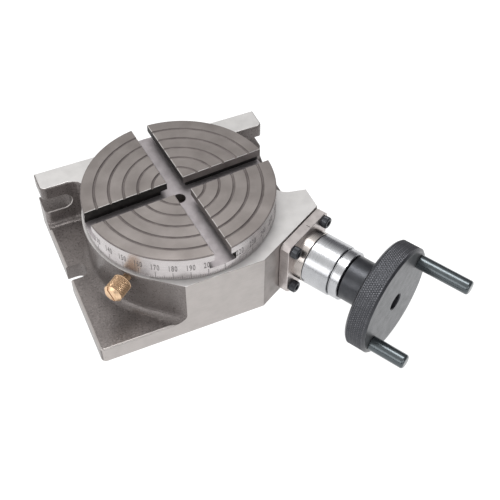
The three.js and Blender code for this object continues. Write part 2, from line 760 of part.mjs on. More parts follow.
function handwheel() {
  const hubLow = LOCK_RING_END + GAP;
  const bore = SHAFT_RADIUS + HANDWHEEL_SEAT;
  const outline = [
    [bore, hubLow],
    [WHEEL_HUB_RADIUS, hubLow],
    [WHEEL_HUB_RADIUS, WHEEL_HUB_END],
    [HANDWHEEL_RADIUS - HANDWHEEL_BEVEL, WHEEL_HUB_END],
    [HANDWHEEL_RADIUS, WHEEL_HUB_END + HANDWHEEL_BEVEL],
    [HANDWHEEL_RADIUS, HANDWHEEL_END - HANDWHEEL_BEVEL],
    [HANDWHEEL_RADIUS - HANDWHEEL_BEVEL, HANDWHEEL_END],
    [bore, HANDWHEEL_END],
    [bore, hubLow],
  ];
  const cuts = pinPlaces().map(([x, y]) => {
    const hole = rod(PIN_SHANK_RADIUS + PIN_SEAT, HANDWHEEL_END - 8, HANDWHEEL_END + 1, 20);
    return hole.translate(x, y, 0);
  });
  const screwHole = rod(HUB_SCREW_RADIUS + SCREW_HOLE_CLEARANCE, SHAFT_RADIUS - 1, WHEEL_HUB_RADIUS + 1, 12);
  cuts.push(screwHole.rotateX(-Math.PI / 2).translate(0, 0, HANDWHEEL_SCREW_PLACE));
  return mesh('handwheel', combine([turned(outline, 48)], cuts), blackSteel());
}

function pinPlaces() {
  const x = PIN_CIRCLE * Math.cos(PIN_ANGLE);
  const y = PIN_CIRCLE * Math.sin(PIN_ANGLE);
  return [[-x, -y], [x, y]];
}

// A grip pin: a shank pressed into the wheel and a round-ended grip.
function gripPin(length) {
  const round = 1.5;
  const outline = [
    [0, -PIN_SHANK_LENGTH],
    [PIN_SHANK_RADIUS, -PIN_SHANK_LENGTH],
    [PIN_SHANK_RADIUS, PIN_SEAT],
    [PIN_RADIUS, PIN_SEAT],
  ];
  for (let i = 0; i <= 3; i += 1) {
    const angle = (i / 3) * (Math.PI / 2);
    const radius = PIN_RADIUS - round + round * Math.cos(angle);
    outline.push([radius, length - round + round * Math.sin(angle)]);
  }
  outline.push([0, length]);
  return turned(outline, 24);
}

function handwheelPins() {
  return pinPlaces().map(([x, y], i) => {
    const pin = mesh(`handwheel_pin_${i + 1}`, gripPin(PIN_LENGTHS[i]), gloss());
    pin.position.set(x, y, HANDWHEEL_END);
    return pin;
  });
}

function wormLine() {
  const line = new THREE.Group();
  line.applyMatrix4(wormFrame());
  line.add(wormShaft(), wormBearingFlange(), ...flangeScrews(), ...wormBushes());
  line.add(indexDial(), dialLockRing(), handwheel(), ...handwheelPins());
  const ringMiddle = (DIAL_END + GAP + LOCK_RING_END) / 2;
  const ringScrewEnd = LOCK_RING_RADIUS - 0.6;
  const ringScrewStart = JOURNAL_RADIUS + 0.1;
  line.add(setScrew('lock_ring_screw', RING_SCREW_RADIUS, ringScrewStart, ringScrewEnd, ringMiddle));
  const hubScrewEnd = WHEEL_HUB_RADIUS - 0.9;
  const hubScrewStart = SHAFT_RADIUS + 0.1;
  line.add(setScrew('handwheel_screw', HUB_SCREW_RADIUS, hubScrewStart, hubScrewEnd, HANDWHEEL_SCREW_PLACE));
  return line;
}

// ---- table lock ---------------------------------------------------------

function lockScrew() {
  const bevel = 1.6;
  const stemStart = REGISTER_RADIUS + LOCK_TRAVEL + PLUG_LENGTH + 0.3;
  const body = turned([
    [0, stemStart],
    [LOCK_STEM_RADIUS, stemStart],
    [LOCK_STEM_RADIUS, LOCK_HEAD_START],
    [LOCK_HEAD_RADIUS - bevel / 2, LOCK_HEAD_START],
    [LOCK_HEAD_RADIUS, LOCK_HEAD_START + bevel / 2],
    [LOCK_HEAD_RADIUS, LOCK_HEAD_END - bevel],
    [LOCK_HEAD_RADIUS - bevel, LOCK_HEAD_END],
    [0, LOCK_HEAD_END],
  ], 32);
  const reach = LOCK_HEAD_RADIUS + 1;
  const slotLow = new THREE.Vector3(-LOCK_SLOT_WIDTH / 2, -reach, LOCK_HEAD_END - LOCK_SLOT_DEPTH);
  const slotHigh = new THREE.Vector3(LOCK_SLOT_WIDTH / 2, reach, LOCK_HEAD_END + 1);
  const slot = box(slotLow, slotHigh).rotateZ(LOCK_SLOT_TURN);
  return mesh('table_lock_screw', combine([body], [slot]), brass());
}

function lockPlug() {
  const start = REGISTER_RADIUS + LOCK_TRAVEL;
  const plug = rod(LOCK_STEM_RADIUS, start, start + PLUG_LENGTH, 16);
  return mesh('table_lock_plug', plug, brass());
}

function tableLock() {
  const lock = new THREE.Group();
  lock.applyMatrix4(lockFrame());
  lock.add(lockScrew(), lockPlug());
  return lock;
}

// ---- assembly -----------------------------------------------------------

function tableStack() {
  const stack = new THREE.Group();
  stack.rotation.z = TABLE_TURN;
  stack.add(rotaryTable(), tableSpindle(), wormWheel(), ...wheelScrews());
  stack.add(spindleWasher(), spindleNut());
  return stack;
}

const assembly = new THREE.Group();
assembly.add(baseCasting(), spindleBush(), tableStack(), wormLine(), tableLock());

export default assembly;
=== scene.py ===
import json
import math

import bmesh
import bpy
from mathutils import Matrix, Vector, noise

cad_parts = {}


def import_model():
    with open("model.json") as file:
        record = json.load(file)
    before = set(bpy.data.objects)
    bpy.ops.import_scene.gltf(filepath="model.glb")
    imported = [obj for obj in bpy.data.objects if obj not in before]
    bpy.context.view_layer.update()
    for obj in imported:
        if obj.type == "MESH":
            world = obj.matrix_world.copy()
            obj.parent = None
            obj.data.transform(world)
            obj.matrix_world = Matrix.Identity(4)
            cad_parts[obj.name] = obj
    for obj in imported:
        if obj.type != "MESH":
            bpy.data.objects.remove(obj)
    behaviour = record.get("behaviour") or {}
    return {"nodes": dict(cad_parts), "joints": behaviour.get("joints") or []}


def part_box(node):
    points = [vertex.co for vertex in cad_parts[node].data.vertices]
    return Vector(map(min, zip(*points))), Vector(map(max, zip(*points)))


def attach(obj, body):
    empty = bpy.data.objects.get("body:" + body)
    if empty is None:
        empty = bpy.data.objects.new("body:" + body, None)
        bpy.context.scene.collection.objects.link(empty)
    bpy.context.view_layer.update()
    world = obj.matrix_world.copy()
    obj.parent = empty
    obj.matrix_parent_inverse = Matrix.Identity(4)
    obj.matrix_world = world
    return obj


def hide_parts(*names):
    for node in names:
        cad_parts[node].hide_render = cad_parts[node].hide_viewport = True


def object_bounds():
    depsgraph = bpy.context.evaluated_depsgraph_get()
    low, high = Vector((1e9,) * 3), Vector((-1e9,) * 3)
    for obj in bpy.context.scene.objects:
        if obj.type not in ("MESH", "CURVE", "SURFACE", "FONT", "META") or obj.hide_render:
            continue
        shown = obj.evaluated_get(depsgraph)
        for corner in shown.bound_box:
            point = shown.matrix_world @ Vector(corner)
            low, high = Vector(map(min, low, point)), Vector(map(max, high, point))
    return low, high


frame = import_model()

# Every piece is drawn in millimetres in a local frame, with Z along its turning
# axis, and is scaled to metres when it is put in place.
MM = 0.001
CAD_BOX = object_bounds()
GAP = 0.3       # between neighbouring pieces
PAST = 1.0      # how far a cutter reaches past the face it cuts

# Limits that tell faces apart when they get their materials
TOUCH = 0.1
HAIR = 0.01
LEVEL = 0.97
SLOPING = 0.8
UPRIGHT = 0.5
STEEP = 0.2
SKIN = 0.5
CUT_EDGE = 0.4

# Base casting
FOOT_HEIGHT = 10.8
FLANGE_FRONT = 44.0
CORNER = 3.0
DRUM_RADIUS = 55.0
LEDGE_RADIUS = 56.3
LEDGE_HEIGHT = 1.8
LEDGE_BACK = 30.0
FRONT_WALL_LEFT = -19.2
HOUSING_CORNER = Vector((59.5, -14.6))
HOUSING_BACK = -17.2
PLAN_FILLET = 8.0
DRUM_FOOT_FILLET = 5.0
FLANGE_FOOT_FILLET = 4.0
CAST_EDGE = 1.1
MACHINED_EDGE = 0.35
BOLT_SLOT_WIDTH = 10.5
BOLT_SLOT_EDGE = 0.45
FOOT_SLOT_INSET = 5.8
FOOT_SLOT_Y = 2.7
FLANGE_SLOT_INSET = 12.0
FLANGE_SLOT_Z = 27.0
REGISTER_BORE = 44.1
REGISTER_FLOOR = 30.5
WHEEL_CAVITY = 28.0
WEB_TOP = 14.0
WEB_BOTTOM = 8.0
BUSH_BORE = 13.05
NUT_RECESS = 20.0
LOCK_HOLE = 2.5
CAST_MESH = 2.4
CAST_RELIEF = 0.06

# Bores for the worm and its flange, along the worm's axis
WORM_BORE = 7.5
WORM_BORE_START = -14.0
REAR_BORE = 6.02
REAR_BORE_START = -29.0
SPIGOT_BORE = 12.5
SPIGOT_BORE_START = 49.7
SCREW_HOLE_DEPTH = 10.0

# Table
GROOVES = 5
FIRST_GROOVE = 14.7
GROOVE_SPACING = 8.17
GROOVE_WIDTH = 1.6
GROOVE_DEPTH = 0.9
SLOT_WIDTH = 10.0
SLOT_DEPTH = 10.4
SLOT_FOOT_WIDTH = 16.0
SLOT_FOOT_HEIGHT = 5.4
SLOT_CHAMFER = 0.32
TABLE_CHAMFER = 0.6
TABLE_TURN = math.radians(4)
CENTRE_HOLE = 3.6
HUB_RADIUS = 18.5
RECESS_HEIGHT = 36.0
REGISTER_RADIUS = 44.0
REGISTER_WALL = 6.0
REGISTER_END = 31.0
HUB_END = 25.7
SPINDLE_SEAT = 10.05
SPINDLE_TOP = 41.5

# Degree scale: ticks stand on the rim's lower edge, with a number every ten.
SCALE_START = 42.2
TICKS = {10: (0.36, 4.9), 5: (0.3, 2.6), 1: (0.2, 1.6)}     # degrees: width, height
INK_HEIGHT = 0.03
INK_DEPTH = 0.2
NUMBER_HEIGHT = 4.5
NUMBER_SQUEEZE = 0.48
NUMBER_STROKE = 0.1
NUMBER_DEPTH = 0.15
NUMBER_CENTRE = 50.3
DIGIT_STEP = 1.8
DIGIT_SHARE = 0.72      # of the font's size that a digit is high
ZERO_MARK = math.radians(-295)

# Worm line
WORM_FACE = 63.0
PLATE_THICKNESS = 6.0
PLATE_GAP = 0.15
PLATE_CORNER = 2.4
PLATE_SCREW_OFFSET = 14.7
SPIGOT_RADIUS = 12.2
FLANGE_BORE = 8.52
SCREW_HOLE = 2.15
INDEX_PLACE = -2.45
CAP_HEAD_HEIGHT = 4.0
CAP_SOCKET = 1.73
CAP_RIDGES = 28
CAP_RIDGE_DEPTH = 0.18
DIAL_BORE = 6.07
DIAL_DIVISIONS = 60
DIAL_MARKS = {12: 3.4, 6: 2.6, 1: 1.7}      # divisions: length of the mark
RING_BORE = 6.05
RING_SCREW_HOLE = 1.6
HANDWHEEL_BORE = 5.04
HANDWHEEL_BACK = 116.0
HANDWHEEL_BEVEL = 1.2
WHEEL_HUB_RADIUS = 13.5
HUB_SCREW_HOLE = 2.1
HUB_SCREW_PLACE = 107.5
PIN_HOLE = 3.05
PIN_HOLE_DEPTH = 8.0
HANDWHEEL_KNURL_PITCH = 1.4
HANDWHEEL_KNURL_DEPTH = 0.38
PIN_SHANK = 3.0
PIN_END_ROUND = 1.5

# Lock screw
LOCK_STEM = 2.4
LOCK_HEAD = 11.6
LOCK_BEVEL = 1.6
LOCK_SLOT_WIDTH = 0.9
LOCK_SLOT_DEPTH = 1.5
LOCK_SLOT_TURN = math.radians(28)
LOCK_KNURL_PITCH = 1.05
LOCK_KNURL_DEPTH = 0.3


# ---- frames

def joint(name):
    return next(j for j in frame["joints"] if j["name"] == name)


def basis(x, y, z, origin):
    matrix = Matrix((x, y, z)).transposed().to_4x4()
    matrix.translation = origin
    return matrix


def worm_frame():
    """Z runs out along the worm's axis, X points at the table's axis and Y down."""
    turn = joint("worm_turn")
    along = Vector(turn["axis"]).normalized()
    inward = Vector((along.y, -along.x, 0))
    return basis(inward, along.cross(inward), along, Vector(turn["pos_m"]))


def lock_frame():
    """Z runs out along the lock screw's axis and Y points up."""
    turn = joint("lock_screw_turn")
    outward = -Vector(turn["axis"]).normalized()
    up = Vector((0, 0, 1))
    return basis(up.cross(outward), up, outward, Vector(turn["pos_m"]))


GROUND = Matrix.Identity(4)
TABLE = Matrix.Rotation(TABLE_TURN, 4, "Z")
WORM = worm_frame()
LOCK = lock_frame()


def extent(node, place):
    """Lowest corner, highest corner and radius of a CAD node in a local frame, in millimetres."""
    inverse = place.inverted()
    points = [inverse @ v.co / MM for v in frame["nodes"][node].data.vertices]
    low = Vector([min(p[i] for p in points) for i in range(3)])
    high = Vector([max(p[i] for p in points) for i in range(3)])
    return low, high, max(math.hypot(p.x, p.y) for p in points)


BASE_LOW, BASE_HIGH, _ = extent("base_casting", GROUND)
TABLE_LOW, TABLE_HIGH, TABLE_RADIUS = extent("rotary_table", TABLE)
PLATE_LOW, PLATE_HIGH, _ = extent("worm_bearing_flange", WORM)


# ---- outlines

def arc(x, y, radius, start, end, steps):
    """Points on an arc, ends included. The angles are in radians."""
    angles = [start + (end - start) * i / steps for i in range(steps + 1)]
    return [(x + radius * math.cos(a), y + radius * math.sin(a)) for a in angles]


def rounded_corner(before, corner, after, radius, steps):
    """Points that round one corner, less where its sides are short."""
    corner = Vector(corner)
    back = Vector(before) - corner
    ahead = Vector(after) - corner
    half = back.angle(ahead) / 2
    reach = min(radius / math.tan(half), back.length * 0.45, ahead.length * 0.45)
    start = corner + back.normalized() * reach
    end = corner + ahead.normalized() * reach
    shares = [step / steps for step in range(steps + 1)]
    return [tuple(start * (1 - t) ** 2 + corner * 2 * t * (1 - t) + end * t ** 2) for t in shares]


def offset(points, distance):
    """Moves a closed, counter-clockwise outline outward by a distance."""
    result = []
    for i, point in enumerate(points):
        corner = Vector(point)
        incoming = (corner - Vector(points[i - 1])).normalized()
        outgoing = (Vector(points[(i + 1) % len(points)]) - corner).normalized()
        first = Vector((incoming.y, -incoming.x))
        second = Vector((outgoing.y, -outgoing.x))
        mitre = (first + second) / (1 + first.dot(second))
        result.append(tuple(corner + mitre * distance))
    return result


def edge_levels(low, high, bottom, top):
    """(height, offset) of the levels of a block with rounded bottom and top edges."""
    angles = [i / 3 * math.pi / 2 for i in range(4)]
    rise = [(low + bottom * (1 - math.cos(a)), bottom * (math.sin(a) - 1)) for a in angles]
    close = [(high - top * (1 - math.cos(a)), top * (math.sin(a) - 1)) for a in reversed(angles)]
    return rise + close


def skirt_levels(low, high, fillet, top):
    """The levels of a wall that stands on a floor at low, with a concave fillet at its foot."""
    angles = [i / 6 * math.pi / 2 for i in range(7)]
    flare = [(low + fillet * (1 - math.cos(a)), fillet * (1 - math.sin(a))) for a in angles]
    return [(low - 3, fillet)] + flare + edge_levels(low, high, 0, top)[-4:]


# ---- solids

def in_scene(data, name="work"):
    obj = bpy.data.objects.new(name, data)
    bpy.context.scene.collection.objects.link(obj)
    return obj


def evaluated_mesh(obj):
    graph = bpy.context.evaluated_depsgraph_get()
    return bpy.data.meshes.new_from_object(obj.evaluated_get(graph))


def solid(vertices, faces):
    mesh = bpy.data.meshes.new("work")
    mesh.from_pydata([tuple(v) for v in vertices], [], faces)
    return in_scene(mesh)


def loft(outline, levels):
    """Stacks offset copies of an outline at (height, offset) levels, closed by flat ends."""
    count = len(outline)
    vertices = [(x, y, z) for z, inset in levels for x, y in offset(outline, inset)]
    faces = [list(range(count))[::-1]]
    for level in range(len(levels) - 1):
        start = level * count
        for i in range(count):
            j = (i + 1) % count
            faces.append([start + i, start + j, start + count + j, start + count + i])
    faces.append([(len(levels) - 1) * count + i for i in range(count)])
    return solid(vertices, faces)


def slab(outline, low, high, edge=0.0):
    if edge == 0:
        return loft(outline, [(low, 0), (high, 0)])
    return loft(outline, edge_levels(low, high, edge, edge))


def box(low, high):
    corners = [(low[0], low[1]), (high[0], low[1]), (high[0], high[1]), (low[0], high[1])]
    return slab(corners, low[2], high[2])


def turned(outline, segments=96, relief=None):
    """Turns (radius, height) points about Z. The outline runs outward along its low end and
    back in along its high end. relief(radius, height, angle) takes a depth off the radius."""
    solid_core = outline[0][0] == 0
    rings = outline[1:-1] if solid_core else outline
    vertices = []
    for radius, height in rings:
        for i in range(segments):
            angle = 2 * math.pi * i / segments
            depth = relief(radius, height, angle) if relief else 0
            reach = radius - depth
            vertices.append((reach * math.cos(angle), reach * math.sin(angle), height))
    spans = len(rings) - 1 if solid_core else len(rings)
    faces = []
    for row in range(spans):
        start = row * segments
        above = (row + 1) % len(rings) * segments
        for i in range(segments):
            j = (i + 1) % segments
            faces.append([start + i, start + j, above + j, above + i])
    if solid_core:
        low, high = len(vertices), len(vertices) + 1
        vertices += [(0, 0, outline[0][1]), (0, 0, outline[-1][1])]
        last = (len(rings) - 1) * segments
        for i in range(segments):
            j = (i + 1) % segments
            faces += [[j, i, low], [last + i, last + j, high]]
    return solid(vertices, faces)


def rod(radius, low, high, segments=48):
    return turned([(0, low), (radius, low), (radius, high), (0, high)], segments)


def moved(obj, matrix):
    obj.data.transform(matrix)
    return obj


def shifted(obj, x, y, z=0.0):
    return moved(obj, Matrix.Translation((x, y, z)))


def carried(obj, place):
    """Carries a solid from a local frame to the ground frame, both in millimetres."""
    matrix = place.copy()
    matrix.translation /= MM
    return moved(obj, matrix)


def boolean(target, tools, operation):
    for tool in tools:
        modifier = target.modifiers.new("boolean", "BOOLEAN")
        modifier.object = tool
        modifier.operation = operation
        modifier.solver = "MANIFOLD"
        target.data = evaluated_mesh(target)
        target.modifiers.clear()
        bpy.data.objects.remove(tool)
    return target


def joined(target, *tools):
    return boolean(target, tools, "UNION")


def cut(target, *tools):
    return boolean(target, tools, "DIFFERENCE")


def gridded(obj, step):
    """Cuts the faces of the first material along a grid, so that they can take relief."""
    bm = bmesh.new()
    bm.from_mesh(obj.data)
    bmesh.ops.triangulate(bm, faces=[f for f in bm.faces if f.material_index == 0])
    for axis in range(3):
        normal = Vector([float(i == axis) for i in range(3)])
        places = [v.co[axis] for v in bm.verts]
        place = min(places) + step / 2
        while place < max(places):
            near = [
                f for f in bm.faces
                if f.material_index == 0 and any(v.co[axis] < place for v in f.verts)
                and any(v.co[axis] > place for v in f.verts)
            ]
            edges = list({e for f in near for e in f.edges})
            corners = list({v for f in near for v in f.verts})
            bmesh.ops.bisect_plane(
                bm, geom=near + edges + corners, dist=0.001, plane_co=normal * place, plane_no=normal
            )
            place += step
    bm.to_mesh(obj.data)
    bm.free()
    return obj


def paint(obj, materials, choose=None):
    """Gives each face the material that choose(centre, normal) picks by its place in the list."""
    obj.data.materials.clear()
    for material in materials:
        obj.data.materials.append(material)
    for face in obj.data.polygons:
        face.material_index = choose(face.center, face.normal) if choose else 0
    return obj


def put(obj, name, place, body, replaces=(), sharp=32):
    """Finishes a solid: scales it, puts it in place, shades it and lets it ride on its body."""
    obj.name = name
    obj.data.name = name
    obj.data.transform(Matrix.Scale(MM, 4))
    obj.matrix_world = place
    obj.data.shade_smooth()
    obj.data.set_sharp_from_angle(angle=math.radians(sharp))
    normals = obj.modifiers.new("weighted normals", "WEIGHTED_NORMAL")
    normals.keep_sharp = True
    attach(obj, body)
    if replaces:
        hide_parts(*replaces)
    return obj


# ---- materials

class Finish:
    """A node material round one Principled shader, with patterns in the piece's own frame."""

    def __init__(self, name, metallic, roughness=0.5):
        self.material = bpy.data.materials.new(name)
        self.material.use_nodes = True
        self.tree = self.material.node_tree
        self.shader = self.tree.nodes["Principled BSDF"]
        self.shade("Metallic", metallic)
        self.shade("Roughness", roughness)
        self.place = self.node("ShaderNodeTexCoord").outputs["Object"]
        self.normal = None

    def node(self, kind, inputs=None, **settings):
        made = self.tree.nodes.new(kind)
        for key, value in settings.items():
            setattr(made, key, value)
        for key, value in (inputs or {}).items():
            made.inputs[key].default_value = value
        return made

    def shade(self, name, value):
        self.shader.inputs[name].default_value = value

    def link(self, output, socket):
        self.tree.links.new(output, socket)

    def stretched(self, x, y, z):
        """The piece's coordinates in units of x, y and z millimetres."""
        scale = self.node("ShaderNodeMapping", {"Scale": [1 / (size * MM) for size in (x, y, z)]})
        self.link(self.place, scale.inputs["Vector"])
        return scale.outputs["Vector"]

    def noise(self, size, detail=3.0, stretch=(1, 1, 1)):
        """Noise whose grain is about size millimetres, drawn out along any stretched axis."""
        made = self.node("ShaderNodeTexNoise", {"Scale": 1.0, "Detail": detail})
        self.link(self.stretched(*(size * s for s in stretch)), made.inputs["Vector"])
        return made.outputs["Fac"]

    def rings(self, pitch, wander=0.3):
        """Turning marks: fine rings round the piece's Z axis, a little uneven."""
        parts = self.node("ShaderNodeSeparateXYZ")
        self.link(self.place, parts.inputs["Vector"])
        x, y, z = parts.outputs
        squares = [self.math("MULTIPLY", part, part) for part in (x, y)]
        radius = self.math("SQRT", self.math("ADD", *squares))
        line = self.math("DIVIDE", self.math("ADD", radius, z), pitch * MM)
        wave = self.math("MULTIPLY", self.noise(12), wander)
        made = self.node("ShaderNodeTexNoise", {"Scale": 1.0, "Detail": 2.0}, noise_dimensions="1D")
        self.link(self.math("ADD", line, wave), made.inputs["W"])
        return made.outputs["Fac"]

    def math(self, operation, first, second=None):
        made = self.node("ShaderNodeMath", operation=operation)
        for socket, value in zip(made.inputs, (first, second)):
            if value is None:
                continue
            if isinstance(value, (int, float)):
                socket.default_value = value
            else:
                self.link(value, socket)
        return made.outputs["Value"]

    def spread(self, factor, low, high):
        """Turns a pattern's middle range into the range from low to high."""
        limits = {"From Min": 0.3, "From Max": 0.7, "To Min": low, "To Max": high}
        made = self.node("ShaderNodeMapRange", limits)
        self.link(factor, made.inputs["Value"])
        return made.outputs["Result"]

    def colors(self, factor, dark, light, low=0.3, high=0.7):
        """Base colour that goes from dark to light over a range of the pattern."""
        ramp = self.node("ShaderNodeValToRGB")
        for element, place, color in zip(ramp.color_ramp.elements, (low, high), (dark, light)):
            element.position = place
            element.color = (*color, 1)
        self.link(factor, ramp.inputs["Fac"])
        self.link(ramp.outputs["Color"], self.shader.inputs["Base Color"])

    def roughness(self, factor, low, high):
        self.link(self.spread(factor, low, high), self.shader.inputs["Roughness"])

    def bump(self, height, depth, strength=1.0):
        """Adds relief of a depth in millimetres over what is there already."""
        made = self.node("ShaderNodeBump", {"Distance": depth * MM, "Strength": strength})
        self.link(height, made.inputs["Height"])
        if self.normal:
            self.link(self.normal, made.inputs["Normal"])
        self.normal = made.outputs["Normal"]
        self.link(self.normal, self.shader.inputs["Normal"])


def rough_casting():
    finish = Finish("rough_casting", 0.45)
    broad = finish.math("MULTIPLY", finish.noise(14, 2), 0.35)
    grain = finish.math("ADD", broad, finish.math("MULTIPLY", finish.noise(0.8, 3), 0.65))
    finish.colors(grain, (0.115, 0.101, 0.097), (0.22, 0.196, 0.188), 0.36, 0.66)
    finish.roughness(finish.noise(1.5, 3), 0.24, 0.4)
    finish.bump(finish.noise(0.9, 3), 0.08)
    finish.bump(finish.noise(0.35, 2), 0.05)
    return finish.material


def milled_face(name, color, shade, stretch, metallic=0.9):
    """A light machined iron face with faint cutter lines along its stretched axis."""
    finish = Finish(name, metallic)
    lines = finish.noise(0.5, 3, stretch)
    dark = tuple(c * shade for c in color)
    finish.colors(finish.noise(7, 5), dark, color, high=0.62)
    finish.roughness(lines, 0.3, 0.46)
    finish.bump(lines, 0.02, 0.6)
    finish.bump(finish.noise(0.6, 3), 0.015, 0.5)
    return finish.material


def turned_face(name, metallic, pitch, patch, dark, light, smooth, relief, pits):
    """A flat face with fine turning marks, small pits and patches of a lighter colour."""
    finish = Finish(name, metallic)
    rings = finish.rings(pitch)
    finish.colors(finish.noise(patch, 5), dark, light)
    finish.roughness(rings, smooth, 0.5)
    finish.bump(rings, *relief)
    finish.bump(finish.noise(0.5, 3), pits, 0.5)
    return finish.material


def patchy(name, metallic, roughness, grain, dark, light, high=0.7):
    """A plain finish that is darker and lighter in patches."""
    finish = Finish(name, metallic, roughness)
    finish.colors(finish.noise(*grain), dark, light, high=high)
    return finish.material


def groove_iron():
    """Dull iron in the grooves, painted darker than the table's top as shade in the grooves."""
    finish = Finish("groove_iron", 0.5, 0.6)
    finish.colors(finish.noise(6, 4), (0.15, 0.13, 0.125), (0.22, 0.195, 0.187))
    finish.bump(finish.noise(0.4, 3), 0.02)
    return finish.material


# Near-black iron: painted shade on the T-slots' walls and undercuts, and in the scribed index line.
def slot_wall():
    finish = Finish("slot_wall", 0.4, 0.6)
    finish.colors(finish.noise(3, 4), (0.012, 0.011, 0.010), (0.035, 0.031, 0.029), 0.35, 0.7)
    finish.bump(finish.noise(0.4, 3, (1, 12, 1)), 0.03)
    return finish.material


def slot_floor():
    finish = Finish("slot_floor", 0.6)
    finish.colors(finish.noise(5, 5), (0.34, 0.31, 0.318), (0.44, 0.405, 0.415))
    finish.roughness(finish.noise(0.8, 3), 0.38, 0.55)
    finish.bump(finish.noise(0.5, 3), 0.03, 0.6)
    return finish.material


def rim_iron():
    finish = Finish("rim_iron", 0.9)
    lines = finish.noise(0.3, 3, (30, 30, 1))
    finish.colors(finish.noise(16, 4), (0.46, 0.43, 0.43), (0.57, 0.54, 0.54), high=0.65)
    finish.roughness(lines, 0.24, 0.34)
    finish.bump(lines, 0.012, 0.6)
    return finish.material


def ground_steel():
    finish = Finish("ground_steel", 0.95)
    lines = finish.noise(0.25, 3, (14, 1, 14))
    finish.colors(finish.noise(6, 4), (0.46, 0.42, 0.41), (0.6, 0.555, 0.54))
    finish.roughness(lines, 0.26, 0.42)
    finish.bump(lines, 0.012, 0.6)
    return finish.material


def satin_metal(name, dark, light):
    """A finely turned bright metal, with rings round its axis."""
    finish = Finish(name, 1.0)
    rings = finish.rings(0.22, 0.1)
    finish.colors(finish.noise(10, 3), dark, light)
    finish.roughness(rings, 0.19, 0.32)
    finish.bump(rings, 0.006, 0.5)
    return finish.material


def black_oxide():
    finish = Finish("black_oxide", 0.6)
    finish.colors(finish.noise(4, 2), (0.04, 0.042, 0.048), (0.055, 0.057, 0.064))
    finish.roughness(finish.noise(1.2, 3), 0.3, 0.38)
    finish.bump(finish.noise(0.25, 2), 0.006, 0.6)
    return finish.material


def worn_crest():
    """Black oxide on the crests of the knurl, painted a little lighter as a highlight on the crests.
    """
    finish = Finish("worn_crest", 0.75)
    finish.colors(finish.noise(2.5, 4), (0.08, 0.08, 0.088), (0.15, 0.15, 0.165), high=0.75)
    finish.roughness(finish.noise(0.8, 3), 0.32, 0.5)
    return finish.material


def polished_black():
    finish = Finish("polished_black", 0.8)
    finish.shade("Coat Weight", 0.3)
    finish.shade("Coat Roughness", 0.15)
    finish.colors(finish.noise(3, 2), (0.075, 0.088, 0.095), (0.09, 0.104, 0.112))
    finish.roughness(finish.noise(3, 2), 0.22, 0.26)
    return finish.material


def bare_brass():
    finish = Finish("bare_brass", 0.9)
    finish.colors(finish.noise(1.8, 4), (0.7, 0.47, 0.29), (0.86, 0.62, 0.41))
    finish.roughness(finish.noise(0.5, 3), 0.3, 0.44)
    finish.bump(finish.noise(0.2, 2), 0.008, 0.5)
    return finish.material


def bearing_bronze():
    finish = Finish("bearing_bronze", 0.9, 0.4)
    finish.colors(finish.noise(3, 4), (0.34, 0.19, 0.09), (0.52, 0.31, 0.16))
    finish.bump(finish.rings(0.3), 0.012, 0.6)
    return finish.material


def pale_floor():
    finish = Finish("pale_floor", 0.0, 0.9)
    finish.shade("Base Color", (0.15, 0.15, 0.15, 1))
    finish.shade("Specular IOR Level", 0.0)
    finish.shade("Emission Color", (1, 1, 1, 1))
    finish.shade("Emission Strength", 1.0)
    return finish.material


CASTING = rough_casting()
MILLED = milled_face("milled_iron", (0.46, 0.43, 0.415), 0.92, (16, 1, 1))
WORM_END = milled_face("milled_worm_face", (0.3, 0.275, 0.265), 0.75, (1, 1, 12))
TURNED = turned_face(
    "turned_iron", 0.85, 0.35, 14, (0.21, 0.188, 0.178), (0.29, 0.262, 0.25), 0.34, (0.015, 0.7), 0.012
)
GROOVE = groove_iron()
# A lighter iron on the T-slots' chamfers: painted highlight along the slot edges.
EDGE_HIGHLIGHT = milled_face("painted_edge_highlight", (0.66, 0.63, 0.61), 0.9, (1, 1, 1))
GROUND_TOP = milled_face("ground_top", (0.64, 0.625, 0.615), 0.9, (16, 1, 1), 0.4)
RECESS_SHADE = slot_wall()
SLOT_FLOOR = slot_floor()
RIM = rim_iron()
STEEL = ground_steel()
CHROME = satin_metal("satin_chrome", (0.42, 0.425, 0.44), (0.52, 0.525, 0.54))
BOSS_STEEL = satin_metal("boss_steel", (0.42, 0.385, 0.365), (0.54, 0.5, 0.475))
BLACK = black_oxide()
CREST_HIGHLIGHT = worn_crest()
BLACK_FACE = turned_face(
    "turned_black", 0.75, 0.3, 5, (0.125, 0.128, 0.134), (0.19, 0.193, 0.2), 0.32, (0.012, 0.6), 0.01
)
BLACK_GLOSS = polished_black()
BRASS = bare_brass()
# Darker brass for the thumb screw's knurl valleys: painted shade.
VALLEY_SHADE_BRASS = patchy("brass_valley_shade", 0.7, 0.5, (1.2, 3), (0.26, 0.16, 0.09), (0.38, 0.25, 0.15))
BRONZE = bearing_bronze()
INK = patchy("engraved_ink", 0.5, 0.5, (0.8, 3), (0.11, 0.1, 0.1), (0.24, 0.225, 0.225), 0.75)
FLOOR = pale_floor()


# ---- base casting

def worm_direction():
    return Vector(WORM.col[2][:2])


def plan_outline():
    """The base's outer plan, with the worm face across its front right corner."""
    left, front, right, back = BASE_LOW.x, BASE_LOW.y, BASE_HIGH.x, BASE_HIGH.y
    along = worm_direction()
    face_x = (WORM_FACE - along.y * front) / along.x
    face_y = (WORM_FACE - along.x * right) / along.y
    outline = arc(left + CORNER, front + CORNER, CORNER, math.pi, 1.5 * math.pi, 6)
    return outline + [(face_x, front), (right, face_y), (right, back), (left, back)]


